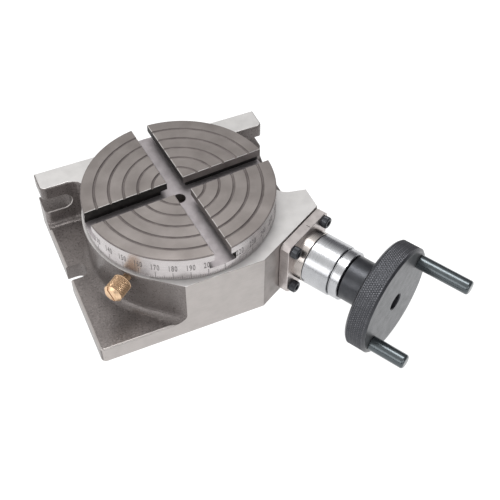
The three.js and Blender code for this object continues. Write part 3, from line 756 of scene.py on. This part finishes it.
def body_outline(radius):
    """Plan of the drum, its fillets into the back flange, the wall that leaves it at a tangent
    and the worm housing. It runs past the base's outer plan, which trims it."""
    fillet_y = FLANGE_FRONT - PLAN_FILLET
    fillet_x = math.sqrt((radius + PLAN_FILLET) ** 2 - fillet_y ** 2)
    turn = math.atan2(fillet_y, fillet_x)
    corner = Vector((FRONT_WALL_LEFT, BASE_LOW.y))
    tangent = 2 * math.pi + math.atan2(corner.y, corner.x) - math.acos(radius / corner.length)
    wall = Vector((-math.sin(tangent), math.cos(tangent)))
    past = 12.0
    wall_end = corner + wall * past
    back_wall = Vector((BASE_HIGH.x, HOUSING_BACK)) - HOUSING_CORNER
    back_end = HOUSING_CORNER + back_wall.normalized() * (2 * past)
    drum_start = math.asin(HOUSING_CORNER.y / 2 / DRUM_RADIUS) - math.radians(2)
    drum = arc(0, 0, radius, drum_start, turn, 24)
    outline = [(-fillet_x, FLANGE_FRONT + CORNER)]
    outline += arc(-fillet_x, fillet_y, PLAN_FILLET, math.pi / 2, -turn, 6)
    outline += arc(0, 0, radius, math.pi - turn, tangent, 40)[1:]
    outline += [tuple(wall_end), (back_end.x, wall_end.y), tuple(back_end)]
    outline += rounded_corner(back_end, HOUSING_CORNER, drum[0], PLAN_FILLET, 4) + drum
    outline += arc(fillet_x, fillet_y, PLAN_FILLET, math.pi + turn, math.pi / 2, 6)[1:]
    return outline + [(fillet_x, FLANGE_FRONT + CORNER)]


def flange_outline():
    """Plan of the back flange. It runs past the base's outer plan at its back."""
    past = 6.0
    left, right = BASE_LOW.x, BASE_HIGH.x
    outline = arc(right - CORNER, FLANGE_FRONT + CORNER, CORNER, -0.5 * math.pi, 0, 5)
    outline += [(right, BASE_HIGH.y + past), (left, BASE_HIGH.y + past)]
    return outline + arc(left + CORNER, FLANGE_FRONT + CORNER, CORNER, math.pi, 1.5 * math.pi, 5)


def bolt_slot(low, face, flare):
    """An open-ended bolt slot along +X, from the middle of its round end. It can flare at the
    face it opens in, which is at a height of face."""
    half = BOLT_SLOT_WIDTH / 2
    reach = 2 * FLANGE_SLOT_INSET
    outline = arc(0, 0, half, math.pi / 2, 1.5 * math.pi, 16) + [(reach, -half), (reach, half)]
    return loft(outline, [(low, 0), (face - flare, 0), (face + PAST, flare + PAST if flare else 0)])


def bolt_slots():
    cuts = []
    for end, side in ((BASE_LOW.x, -1), (BASE_HIGH.x, 1)):
        spin = Matrix.Rotation(math.pi if side < 0 else 0, 4, "Z")
        foot = moved(bolt_slot(-PAST, FOOT_HEIGHT, 0), spin)
        cuts.append(shifted(foot, end - side * FOOT_SLOT_INSET, FOOT_SLOT_Y))
        upright = moved(bolt_slot(-BASE_HIGH.y - PAST, -FLANGE_FRONT, BOLT_SLOT_EDGE), spin)
        moved(upright, Matrix.Rotation(math.pi / 2, 4, "X"))
        cuts.append(shifted(upright, end - side * FLANGE_SLOT_INSET, 0, FLANGE_SLOT_Z))
    return cuts


def base_bores():
    """Every round hole in the casting."""
    screw_hole = (SCREW_HOLE, WORM_FACE - SCREW_HOLE_DEPTH, WORM_FACE + PAST, 16)
    screw_holes = [carried(shifted(rod(*screw_hole), x, y), WORM) for x, y in plate_screw_places()]
    return screw_holes + [
        rod(REGISTER_BORE, REGISTER_FLOOR, BASE_HIGH.z + PAST, 128),
        rod(WHEEL_CAVITY, WEB_TOP, REGISTER_FLOOR + PAST, 64),
        rod(BUSH_BORE, WEB_BOTTOM - PAST, WEB_TOP + PAST),
        rod(NUT_RECESS, -PAST, WEB_BOTTOM, 64),
        carried(rod(WORM_BORE, WORM_BORE_START, WORM_FACE + PAST), WORM),
        carried(rod(SPIGOT_BORE, SPIGOT_BORE_START, WORM_FACE + PAST), WORM),
        carried(rod(REAR_BORE, REAR_BORE_START, 0), WORM),
        carried(rod(LOCK_HOLE, REGISTER_RADIUS - 4 * PAST, LEDGE_RADIUS + 6 * PAST, 24), LOCK),
    ]


def is_slot_edge(centre):
    """True on the flares round the flange's bolt slots."""
    in_flare = HAIR < centre.y - FLANGE_FRONT < BOLT_SLOT_EDGE
    beside_drum = abs(centre.x) > DRUM_RADIUS - DRUM_FOOT_FILLET
    return in_flare and beside_drum and abs(centre.z - FLANGE_SLOT_Z) < BOLT_SLOT_WIDTH * 2 / 3


def is_side(centre, normal):
    """True on the upright faces round the outside of the base, apart from its cast left end, and on
    the foot's rounded top edges at the front and left, painted machined as a highlight.
    """
    right = centre.x > BASE_HIGH.x - TOUCH and abs(normal.z) < UPRIGHT
    # The foot's rounded top edges at the front and left end take machined iron as a painted highlight.
    front = centre.y < BASE_LOW.y + CAST_EDGE and normal.z < LEVEL
    left_edge_highlight = centre.x < BASE_LOW.x + CAST_EDGE and STEEP < normal.z < LEVEL
    return right or front or left_edge_highlight and centre.z < FOOT_HEIGHT + TOUCH


def is_ledge(centre, normal):
    high = centre.z > BASE_HIGH.z - LEDGE_HEIGHT and normal.z > UPRIGHT
    return high and centre.xy.length < LEDGE_RADIUS + SKIN and centre.y < LEDGE_BACK


def is_machined(centre, normal):
    """True where the casting was cut after it was poured, apart from its top, and on the foot's
    rounded edges painted machined as a highlight.
    """
    base = centre.z < CUT_EDGE
    back = centre.y > BASE_HIGH.y - CUT_EDGE
    bored = centre.xy.length < REGISTER_BORE + 2 * TOUCH and centre.z > WEB_BOTTOM - SKIN
    return base or back or bored or is_side(centre, normal) or is_slot_edge(centre)


def is_worm_face(centre):
    return Vector(centre[:2]).dot(worm_direction()) > WORM_FACE - TOUCH


def casting_face(centre, normal):
    """Which of the casting's materials a face has."""
    if is_worm_face(centre):
        return 2
    if normal.z > SLOPING and centre.z > BASE_HIGH.z - SKIN:
        return 3
    if is_machined(centre, normal):
        return 1
    return 4 if is_ledge(centre, normal) else 0


def roughen(obj, depth):
    """Moves the cast skin in and out a little, as sand leaves it, but no machined face."""
    mesh = obj.data
    smooth = {i for face in mesh.polygons if face.material_index for i in face.vertices}
    normals = [Vector(v.normal) for v in mesh.vertices]
    for vertex, normal in zip(mesh.vertices, normals):
        if vertex.index not in smooth:
            broad = noise.noise(vertex.co / 6.0)
            fine = noise.noise(vertex.co / 2.2)
            vertex.co += normal * (depth * (broad + 0.5 * fine))


def base_casting():
    outline = plan_outline()
    foot = loft(outline, edge_levels(0, FOOT_HEIGHT, MACHINED_EDGE, CAST_EDGE))
    ledge_low = BASE_HIGH.z - LEDGE_HEIGHT
    drum_levels = skirt_levels(FOOT_HEIGHT, ledge_low + 0.5, DRUM_FOOT_FILLET, 0.1)
    flange_levels = skirt_levels(FOOT_HEIGHT, BASE_HIGH.z, FLANGE_FOOT_FILLET, CAST_EDGE)
    body = loft(body_outline(DRUM_RADIUS), drum_levels)
    ledge = slab(body_outline(LEDGE_RADIUS), ledge_low, BASE_HIGH.z, MACHINED_EDGE)
    flange = loft(flange_outline(), flange_levels)
    limits = slab(outline, 0, BASE_HIGH.z, MACHINED_EDGE)
    casting = joined(body, ledge, flange)
    casting = boolean(casting, [limits], "INTERSECT")
    casting = cut(joined(casting, foot), *bolt_slots(), *base_bores())
    paint(casting, [CASTING, MILLED, WORM_END, GROUND_TOP, TURNED], casting_face)
    gridded(casting, CAST_MESH)
    roughen(casting, CAST_RELIEF)
    return put(casting, "cast_base", GROUND, "base", ["base_casting"])


# ---- table

def groove_outline(top):
    """The concentric grooves from the rim inwards, each with a round bottom."""
    outline = []
    half = GROOVE_WIDTH / 2
    for i in reversed(range(GROOVES)):
        radius = FIRST_GROOVE + i * GROOVE_SPACING
        for angle in (step / 6 * math.pi for step in range(7)):
            outline.append((radius + half * math.cos(angle), top - GROOVE_DEPTH * math.sin(angle)))
    return outline


def table_outline():
    top, edge = TABLE_HIGH.z, TABLE_RADIUS
    underside = BASE_HIGH.z + GAP
    register_inner = REGISTER_RADIUS - REGISTER_WALL
    bevel = TABLE_CHAMFER / 3
    return [
        (SPINDLE_SEAT, HUB_END),
        (HUB_RADIUS, HUB_END),
        (HUB_RADIUS, RECESS_HEIGHT),
        (register_inner, RECESS_HEIGHT),
        (register_inner, REGISTER_END),
        (REGISTER_RADIUS, REGISTER_END),
        (REGISTER_RADIUS, underside),
        (edge - TABLE_CHAMFER / 2, underside),
        (edge, underside + TABLE_CHAMFER / 2),
        (edge, top - TABLE_CHAMFER),
        (edge - bevel, top - bevel),
        (edge - TABLE_CHAMFER, top),
        *groove_outline(top),
        (CENTRE_HOLE, top),
        (CENTRE_HOLE, SPINDLE_TOP),
        (SPINDLE_SEAT, SPINDLE_TOP),
    ]


def tee_slot():
    """The T-slot's cross-section, swept along Y right through the table."""
    top = TABLE_HIGH.z
    floor = top - SLOT_DEPTH
    shoulder = floor + SLOT_FOOT_HEIGHT
    foot, mouth = SLOT_FOOT_WIDTH / 2, SLOT_WIDTH / 2
    corner = 0.3
    right = [
        (foot - corner, floor),
        (foot, floor + corner),
        (foot, shoulder),
        (mouth, shoulder),
        (mouth, top - SLOT_CHAMFER),
        (mouth + SLOT_CHAMFER + PAST, top + PAST),
    ]
    outline = right + [(-x, z) for x, z in reversed(right)]
    bar = slab(outline, -TABLE_RADIUS - PAST, TABLE_RADIUS + PAST)
    return moved(bar, Matrix.Rotation(math.pi / 2, 4, "X"))


def tee_slots():
    return [tee_slot(), moved(tee_slot(), Matrix.Rotation(math.pi / 2, 4, "Z"))]


def table_face(centre, normal):
    """Which of the table's materials a face has."""
    top = TABLE_HIGH.z
    floor = top - SLOT_DEPTH
    reach = centre.xy.length
    across = min(abs(centre.x), abs(centre.y))
    in_foot = across < SLOT_FOOT_WIDTH / 2 + HAIR and reach < TABLE_RADIUS - TOUCH
    if in_foot and floor - TOUCH < centre.z < top - GROOVE_DEPTH:
        # Slot walls and undercuts take the near-black iron as painted shade; the floor gets its own
        # lighter iron.
        return 2 if normal.z > LEVEL and centre.z < floor + TOUCH else 1
    if centre.z < top - TABLE_CHAMFER and reach > TABLE_RADIUS - TABLE_CHAMFER:
        return 3
    # The slots' chamfers take the lighter iron, a painted highlight along their edges.
    on_slot_edge = across < SLOT_WIDTH / 2 + SLOT_CHAMFER + HAIR and abs(normal.z) < LEVEL
    if on_slot_edge and centre.z > top - SLOT_CHAMFER and reach < TABLE_RADIUS - PAST:
        return 5
    # Groove walls take the darker groove iron, painted shade in the grooves.
    in_groove = top - GROOVE_DEPTH - TOUCH < centre.z < top - HAIR and normal.z < LEVEL
    return 4 if in_groove else 0


def rotary_table():
    table = cut(turned(table_outline(), 180), *tee_slots())
    paint(table, [TURNED, RECESS_SHADE, SLOT_FLOOR, RIM, GROOVE, EDGE_HIGHLIGHT], table_face)
    return put(table, "table_disc", TABLE, "table", ["rotary_table"])


def tick(angle, width, height):
    """A thin upright bar just proud of the rim."""
    low = (TABLE_RADIUS - INK_DEPTH, -width / 2, SCALE_START)
    bar = box(low, (TABLE_RADIUS + INK_HEIGHT, width / 2, SCALE_START + height))
    return moved(bar, Matrix.Rotation(angle, 4, "Z"))


def merged(parts):
    """One object that holds several closed solids side by side."""
    bm = bmesh.new()
    for part in parts:
        bm.from_mesh(part.data)
        bpy.data.objects.remove(part)
    mesh = bpy.data.meshes.new("work")
    bm.to_mesh(mesh)
    bm.free()
    return in_scene(mesh)


def scale_ticks():
    ticks = []
    for degree in range(360):
        size = next(TICKS[step] for step in TICKS if degree % step == 0)
        ticks.append(tick(ZERO_MARK - TABLE_TURN + math.radians(degree), *size))
    return ticks


def digit(character):
    """A digit as a thin solid, with its middle at the origin and X along the text."""
    text = bpy.data.curves.new("digit", "FONT")
    text.body = character
    text.size = NUMBER_HEIGHT / DIGIT_SHARE
    text.extrude = INK_DEPTH / 2
    text.offset = NUMBER_STROKE
    text.align_x = text.align_y = "CENTER"
    text.resolution_u = 3
    obj = in_scene(text)
    mesh = evaluated_mesh(obj)
    bpy.data.objects.remove(obj)
    bm = bmesh.new()
    bm.from_mesh(mesh)
    bmesh.ops.remove_doubles(bm, verts=bm.verts, dist=0.002)
    bm.to_mesh(mesh)
    bm.free()
    return in_scene(mesh)


def wrapped(obj, angle):
    """Bends a flat digit round the table's rim, with its face just proud of it."""
    for vertex in obj.data.vertices:
        x, y, z = vertex.co
        turn = angle + NUMBER_SQUEEZE * x / TABLE_RADIUS
        reach = TABLE_RADIUS + (INK_HEIGHT if z > 0 else -NUMBER_DEPTH)
        vertex.co = (reach * math.cos(turn), reach * math.sin(turn), NUMBER_CENTRE + y)
    return obj


def over_slot(angle):
    """True where the rim is open, at the foot of a T-slot."""
    sides = (TABLE_RADIUS * math.cos(angle), TABLE_RADIUS * math.sin(angle))
    return min(map(abs, sides)) < SLOT_FOOT_WIDTH / 2 + DIGIT_STEP / 4


def scale_numbers():
    digits = []
    for degree in range(0, 360, 10):
        middle = ZERO_MARK - TABLE_TURN + math.radians(degree)
        text = str(degree)
        for i, character in enumerate(text):
            angle = middle + (i - (len(text) - 1) / 2) * DIGIT_STEP / TABLE_RADIUS
            if not over_slot(angle):
                digits.append(wrapped(digit(character), angle))
    return digits


def degree_scale():
    scale = merged(scale_ticks() + scale_numbers())
    paint(scale, [INK])
    return put(scale, "degree_scale", TABLE, "table")


# ---- worm line

def plate_screw_places():
    sides = (-PLATE_SCREW_OFFSET, PLATE_SCREW_OFFSET)
    return [(x, y) for x in sides for y in sides]


def plate_outline(half):
    cut_back = half - PLATE_CORNER
    return [
        (-cut_back, -half), (cut_back, -half), (half, -cut_back), (half, cut_back),
        (cut_back, half), (-cut_back, half), (-half, cut_back), (-half, -cut_back),
    ]


def worm_flange():
    """The square bearing plate with its round boss and the scribed index line."""
    end = PLATE_HIGH.z
    radius = extent("index_dial", WORM)[2]
    low = WORM_FACE + PLATE_GAP
    high = WORM_FACE + GAP + PLATE_THICKNESS
    corner = 0.3
    plate = slab(plate_outline(PLATE_HIGH.x), low, high, MACHINED_EDGE)
    boss = turned([
        (0, high - PAST),
        (radius, high - PAST),
        (radius, end - corner),
        (radius - corner, end),
        (0, end),
    ], 128)
    spigot = rod(SPIGOT_RADIUS, PLATE_LOW.z, high - PAST, 64)
    hole = (SCREW_HOLE, low - PAST, high + PAST, 24)
    holes = [shifted(rod(*hole), x, y) for x, y in plate_screw_places()]
    bore = rod(FLANGE_BORE, PLATE_LOW.z - PAST, end + PAST, 64)
    flange = cut(joined(plate, boss, spigot), bore, index_line(high), *holes)

    def material(centre, normal):
        """Darkens the scribed line with painted shade and brightens the boss."""
        depth = centre.y + PLATE_HIGH.x
        scribed = 0 < depth < MACHINED_EDGE and abs(centre.x - INDEX_PLACE) < 2 * TOUCH
        return 2 if centre.z > high + TOUCH else int(scribed)

    paint(flange, [STEEL, RECESS_SHADE, BOSS_STEEL], material)
    return put(flange, "bearing_flange", WORM, "base", ["worm_bearing_flange"])


def index_line(high):
    """Cutter for the line scribed on the plate's top."""
    half, depth = 0.15, 0.3
    top = -PLATE_HIGH.x
    low_corner = (INDEX_PLACE - half, top - PAST, high - 3.4)
    return box(low_corner, (INDEX_PLACE + half, top + depth, high - 0.8))


def hexagon(radius):
    angles = [i * math.pi / 3 for i in range(6)]
    return [(radius * math.cos(a), radius * math.sin(a)) for a in angles]


def cap_screw(name, node):
    """A socket cap screw with a straight-knurled head."""
    low, high, _ = extent(node, WORM)
    middle = (low + high) / 2
    radius = (high.x - low.x) / 2
    top = CAP_HEAD_HEIGHT
    shank = radius * 0.55
    knurl_low, knurl_high = 0.5, top - 0.55

    def ridges(reach, height, angle):
        if reach != radius or not knurl_low <= height <= knurl_high:
            return 0
        return CAP_RIDGE_DEPTH / 2 * (1 + math.cos(CAP_RIDGES * angle))

    body = turned([
        (0, low.z - high.z + top),
        (shank, low.z - high.z + top),
        (shank, 0),
        (radius - 0.15, 0),
        (radius - 0.08, knurl_low - 0.05),
        (radius, knurl_low),
        (radius, knurl_high),
        (radius - 0.08, knurl_high + 0.05),
        (radius - 0.4, top - 0.1),
        (radius - 0.6, top),
        (0, top),
    ], CAP_RIDGES * 6, ridges)
    mouth_low, mouth_high = top - 0.35, top + 0.2
    mouth = turned([
        (0, mouth_low),
        (CAP_SOCKET * 0.9, mouth_low),
        (CAP_SOCKET + 0.35, mouth_high),
        (0, mouth_high),
    ], 48)
    screw = cut(body, slab(hexagon(CAP_SOCKET), top / 2, top + PAST), mouth)
    shifted(screw, middle.x, middle.y, high.z - top)
    return put(paint(screw, [BLACK]), name, WORM, "base", [node])


def dial():
    """The sleeve that carries the minute marks."""
    low, high, radius = extent("index_dial", WORM)
    edge = 0.35
    sleeve = turned([
        (DIAL_BORE, low.z),
        (radius - edge, low.z),
        (radius, low.z + edge),
        (radius, high.z - 2 * edge),
        (radius - 0.25, high.z - 0.2),
        (radius - 2 * edge, high.z),
        (DIAL_BORE, high.z),
    ], 180)
    return put(paint(sleeve, [CHROME]), "dial_sleeve", WORM, "dial", ["index_dial"])


def dial_marks():
    """The marks round the sleeve's inner edge, with longer ones each 6 and each 12."""
    low, _, radius = extent("index_dial", WORM)
    start, half = low.z + 0.6, 0.06
    marks = []
    for i in range(DIAL_DIVISIONS):
        end = start + next(DIAL_MARKS[step] for step in DIAL_MARKS if i % step == 0)
        mark = box((radius - INK_DEPTH, -half, start), (radius + INK_HEIGHT / 2, half, end))
        marks.append(moved(mark, Matrix.Rotation(2 * math.pi * i / DIAL_DIVISIONS, 4, "Z")))
    scale = paint(merged(marks), [SLOT_FLOOR])
    return put(scale, "dial_marks", WORM, "dial")


def radial_hole(radius, inner, outer, place):
    """Cutter for a set screw's hole, which runs out along Y at a place on the worm's axis."""
    hole = moved(rod(radius, inner, outer, 24), Matrix.Rotation(-math.pi / 2, 4, "X"))
    return shifted(hole, 0, 0, place)


def lock_ring():
    low, high, radius = extent("dial_lock_ring", WORM)
    step, edge = 0.8, 0.4
    ring = turned([
        (RING_BORE, low.z),
        (radius - step, low.z),
        (radius - step, low.z + 0.5),
        (radius - edge / 2, low.z + 0.6),
        (radius, low.z + 0.9),
        (radius, high.z - edge),
        (radius - edge, high.z),
        (RING_BORE, high.z),
    ], 128)
    cut(ring, radial_hole(RING_SCREW_HOLE, RING_BORE - PAST, radius + PAST, (low.z + high.z) / 2))
    return put(paint(ring, [CHROME]), "bright_ring", WORM, "worm", ["dial_lock_ring"])


def diamond_relief(radius, low, high, pitch, depth):
    """Crossed V-cuts at 30 degrees to the axis: the depth below the crests at any point."""
    count = round(2 * math.pi * radius / pitch)

    def relief(reach, height, angle):
        if reach != radius or not low <= height <= high:
            return 0
        round_turns = count * angle / (2 * math.pi)
        up_turns = (height - low) * math.tan(math.radians(30)) / pitch
        grooves = [abs(2 * ((round_turns + side * up_turns) % 1) - 1) for side in (-1, 1)]
        fade = min(1, (height - low) / 0.4, (high - height) / 0.4)
        return depth * max(grooves) * fade

    return relief, count


def band(radius, low, high, step):
    """Outline points along a straight knurled stretch."""
    count = max(2, round((high - low) / step))
    return [(radius, low + (high - low) * i / count) for i in range(count + 1)]


def hand_wheel():
    low, high, radius = extent("handwheel", WORM)
    hub, back, bore, bevel = WHEEL_HUB_RADIUS, HANDWHEEL_BACK, HANDWHEEL_BORE, HANDWHEEL_BEVEL
    pitch, depth = HANDWHEEL_KNURL_PITCH, HANDWHEEL_KNURL_DEPTH
    knurl_low, knurl_high = back + bevel, high.z - bevel
    relief, count = diamond_relief(radius, knurl_low, knurl_high, pitch, depth)
    outline = [
        (bore, low.z),
        (hub - 0.4, low.z),
        (hub, low.z + 0.4),
        (hub, back - 1),
        (hub + 0.3, back - 0.3),
        (hub + 1, back),
        (radius - bevel - 0.2, back),
        (radius - bevel + 0.1, back + 0.1),
        (radius - 0.1, knurl_low - 0.1),
    ]
    outline += band(radius, knurl_low, knurl_high, pitch / 4)
    outline += [
        (radius - 0.1, knurl_high + 0.1),
        (radius - bevel + 0.1, high.z - 0.1),
        (radius - bevel - 0.2, high.z),
        (bore + 0.5, high.z),
        (bore, high.z - 0.5),
    ]
    wheel = turned(outline, count * 4, relief)
    pin_hole = (PIN_HOLE, high.z - PIN_HOLE_DEPTH, high.z + PAST, 32)
    holes = [shifted(rod(*pin_hole), x, y) for x, y in pin_places()]
    cut(wheel, *holes, radial_hole(HUB_SCREW_HOLE, bore - PAST, hub + PAST, HUB_SCREW_PLACE))

    def material(centre, normal):
        """Lighter crests on the knurl as painted highlight, and a thin oxide on the front face."""
        reach = centre.xy.length
        if knurl_low < centre.z < knurl_high and reach > radius - 1:
            return 1 if reach > radius - depth * 0.45 else 0
        return 2 if normal.z > UPRIGHT and centre.z > high.z - 0.2 else 0

    paint(wheel, [BLACK, CREST_HIGHLIGHT, BLACK_FACE], material)
    return put(wheel, "knurled_handwheel", WORM, "worm", ["handwheel"])


def pin_places():
    places = []
    for node in ("handwheel_pin_1", "handwheel_pin_2"):
        low, high, _ = extent(node, WORM)
        places.append(((low.x + high.x) / 2, (low.y + high.y) / 2))
    return places


def handle_pin(index):
    node = f"handwheel_pin_{index + 1}"
    low, high, _ = extent(node, WORM)
    radius = (high.x - low.x) / 2
    face = extent("handwheel", WORM)[1].z
    x, y = pin_places()[index]
    seat, bevel = face + 0.05, 0.3
    outline = [
        (0, low.z),
        (PIN_SHANK, low.z),
        (PIN_SHANK, seat),
        (radius - bevel, seat),
        (radius, seat + bevel),
    ]
    corner = radius - PIN_END_ROUND
    outline += arc(corner, high.z - PIN_END_ROUND, PIN_END_ROUND, 0, math.pi / 2, 8)
    pin = shifted(turned(outline + [(0, high.z)], 64), x, y)
    return put(paint(pin, [BLACK_GLOSS]), f"grip_pin_{index + 1}", WORM, "worm", [node])


# ---- table lock

def thumb_screw():
    low, high, radius = extent("table_lock_screw", LOCK)
    stem, bevel, depth = LOCK_STEM, LOCK_BEVEL, LOCK_KNURL_DEPTH
    head = high.z - LOCK_HEAD
    knurl_low, knurl_high = head + 0.9, high.z - bevel
    relief, count = diamond_relief(radius, knurl_low, knurl_high, LOCK_KNURL_PITCH, depth)
    outline = [
        (0, low.z),
        (stem - 0.4, low.z),
        (stem, low.z + 0.4),
        (stem, head),
        (radius - 0.9, head),
        (radius - 0.05, knurl_low - 0.05),
    ]
    outline += band(radius, knurl_low, knurl_high, LOCK_KNURL_PITCH / 5)
    outline += [
        (radius - 0.1, knurl_high + 0.1),
        (radius - bevel + 0.1, high.z - 0.08),
        (radius - bevel - 0.1, high.z),
        (0, high.z),
    ]
    screw = turned(outline, count * 8, relief)
    half = LOCK_SLOT_WIDTH / 2
    reach = radius + PAST
    slot = box((-half, -reach, high.z - LOCK_SLOT_DEPTH), (half, reach, high.z + PAST))
    cut(screw, moved(slot, Matrix.Rotation(LOCK_SLOT_TURN, 4, "Z")))

    def material(centre, normal):
        """Knurl valleys painted darker, as shade in the valleys."""
        on_knurl = knurl_low < centre.z < knurl_high
        return int(on_knurl and stem < centre.xy.length < radius - depth / 2)

    paint(screw, [BRASS, VALLEY_SHADE_BRASS], material)
    return put(screw, "thumb_screw", LOCK, "lock_screw", ["table_lock_screw"])


# ---- kept CAD nodes

KEPT = [
    (BRONZE, ["spindle_bush", "worm_wheel", "worm_bush_front", "worm_bush_rear"]),
    (STEEL, ["table_spindle", "spindle_washer", "worm_shaft"]),
    (BLACK, ["wheel_screw_1", "wheel_screw_2", "wheel_screw_3", "spindle_nut"]),
    (BLACK, ["lock_ring_screw", "handwheel_screw"]),
    (BRASS, ["table_lock_plug"]),
]


def finish_kept_nodes():
    for material, names in KEPT:
        for name in names:
            data = frame["nodes"][name].data
            data.materials.clear()
            data.materials.append(material)


# ---- stage

CAMERA_PLACE = Vector((-0.1175, -0.3536, 0.4318))
CAMERA_AZIMUTH = math.radians(-24.61)
CAMERA_ELEVATION = math.radians(49.19)
CAMERA_ROLL = math.radians(0.577)
CAMERA_LENS = 67.43
CAMERA_SENSOR = 36.0
BRIGHT_SIDE = (-0.45, 0.4, 0.8)
FLOOR_REACH = 2.0
FLOOR_THICKNESS = 0.02
PLINTH_INSET = 0.006
PLINTH_RIGHT_INSET = 0.03


def camera():
    data = bpy.data.cameras.new("camera")
    data.lens = CAMERA_LENS
    data.sensor_width = CAMERA_SENSOR
    data.clip_start = 0.01
    obj = in_scene(data, "camera")
    turn, rise = CAMERA_AZIMUTH, CAMERA_ELEVATION
    back = Vector((math.sin(turn) * math.cos(rise), -math.cos(turn) * math.cos(rise), math.sin(rise)))
    right = Vector((math.cos(turn), math.sin(turn), 0))
    up = back.cross(right)
    roll = CAMERA_ROLL
    x = right * math.cos(roll) + up * math.sin(roll)
    y = up * math.cos(roll) - right * math.sin(roll)
    obj.matrix_world = basis(x, y, back, CAMERA_PLACE)
    bpy.context.scene.camera = obj


def area_light(name, place, size, power, target=(0, 0, 0)):
    data = bpy.data.lights.new(name, "AREA")
    data.shape = "RECTANGLE"
    data.size, data.size_y = size
    data.energy = power
    obj = in_scene(data, name)
    obj.location = place
    obj.rotation_euler = (Vector(target) - Vector(place)).to_track_quat("-Z", "Y").to_euler()


def world():
    """A soft studio: bright overhead, behind and to the left, dim to the right and in front."""
    made = bpy.data.worlds.new("studio")
    made.use_nodes = True
    tree = made.node_tree
    place = tree.nodes.new("ShaderNodeTexCoord")
    facing = tree.nodes.new("ShaderNodeVectorMath")
    facing.operation = "DOT_PRODUCT"
    facing.inputs[1].default_value = Vector(BRIGHT_SIDE).normalized()
    ramp = tree.nodes.new("ShaderNodeValToRGB")
    tree.links.new(place.outputs["Generated"], facing.inputs[0])
    tree.links.new(facing.outputs["Value"], ramp.inputs["Fac"])
    tree.links.new(ramp.outputs["Color"], tree.nodes["Background"].inputs["Color"])
    dim, bright = ramp.color_ramp.elements
    dim.position, dim.color = 0.35, (0.2, 0.2, 0.21, 1)
    bright.position, bright.color = 0.8, (1.0, 1.0, 0.99, 1)
    tree.nodes["Background"].inputs["Strength"].default_value = 0.95
    bpy.context.scene.world = made


def floor():
    """A pale floor below the handwheel, and a low plinth that holds the base up off it."""
    gap = GAP * MM
    ground = CAD_BOX[0].z - gap
    reach = FLOOR_REACH
    plane = box((-reach, -reach, ground - FLOOR_THICKNESS), (reach, reach, ground))
    low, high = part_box("base_casting")
    inset = PLINTH_INSET
    corner = (high.x - PLINTH_RIGHT_INSET, high.y - inset, low.z - gap)
    plinth = box((low.x + inset, low.y + inset, ground), corner)
    for obj, name in ((plane, "floor"), (plinth, "plinth")):
        obj.name = name
        obj.data.materials.append(FLOOR)


def studio():
    world()
    area_light("key", (0.05, 0.08, 0.6), (0.34, 0.2), 1.6)
    area_light("front", (-0.1, -1.0, 0.6), (1.0, 0.5), 3.8)
    area_light("side", (-0.9, -0.3, 0.4), (0.6, 0.5), 2, (0, 0, 0.02))
    view = bpy.context.scene.view_settings
    view.view_transform = "Standard"
    view.look = "None"


# ---- the model

base_casting()
rotary_table()
degree_scale()
worm_flange()
for i in range(4):
    cap_screw(f"cap_screw_{i + 1}", f"flange_screw_{i + 1}")
dial()
dial_marks()
lock_ring()
hand_wheel()
for i in range(2):
    handle_pin(i)
thumb_screw()
finish_kept_nodes()

camera()
studio()
floor()
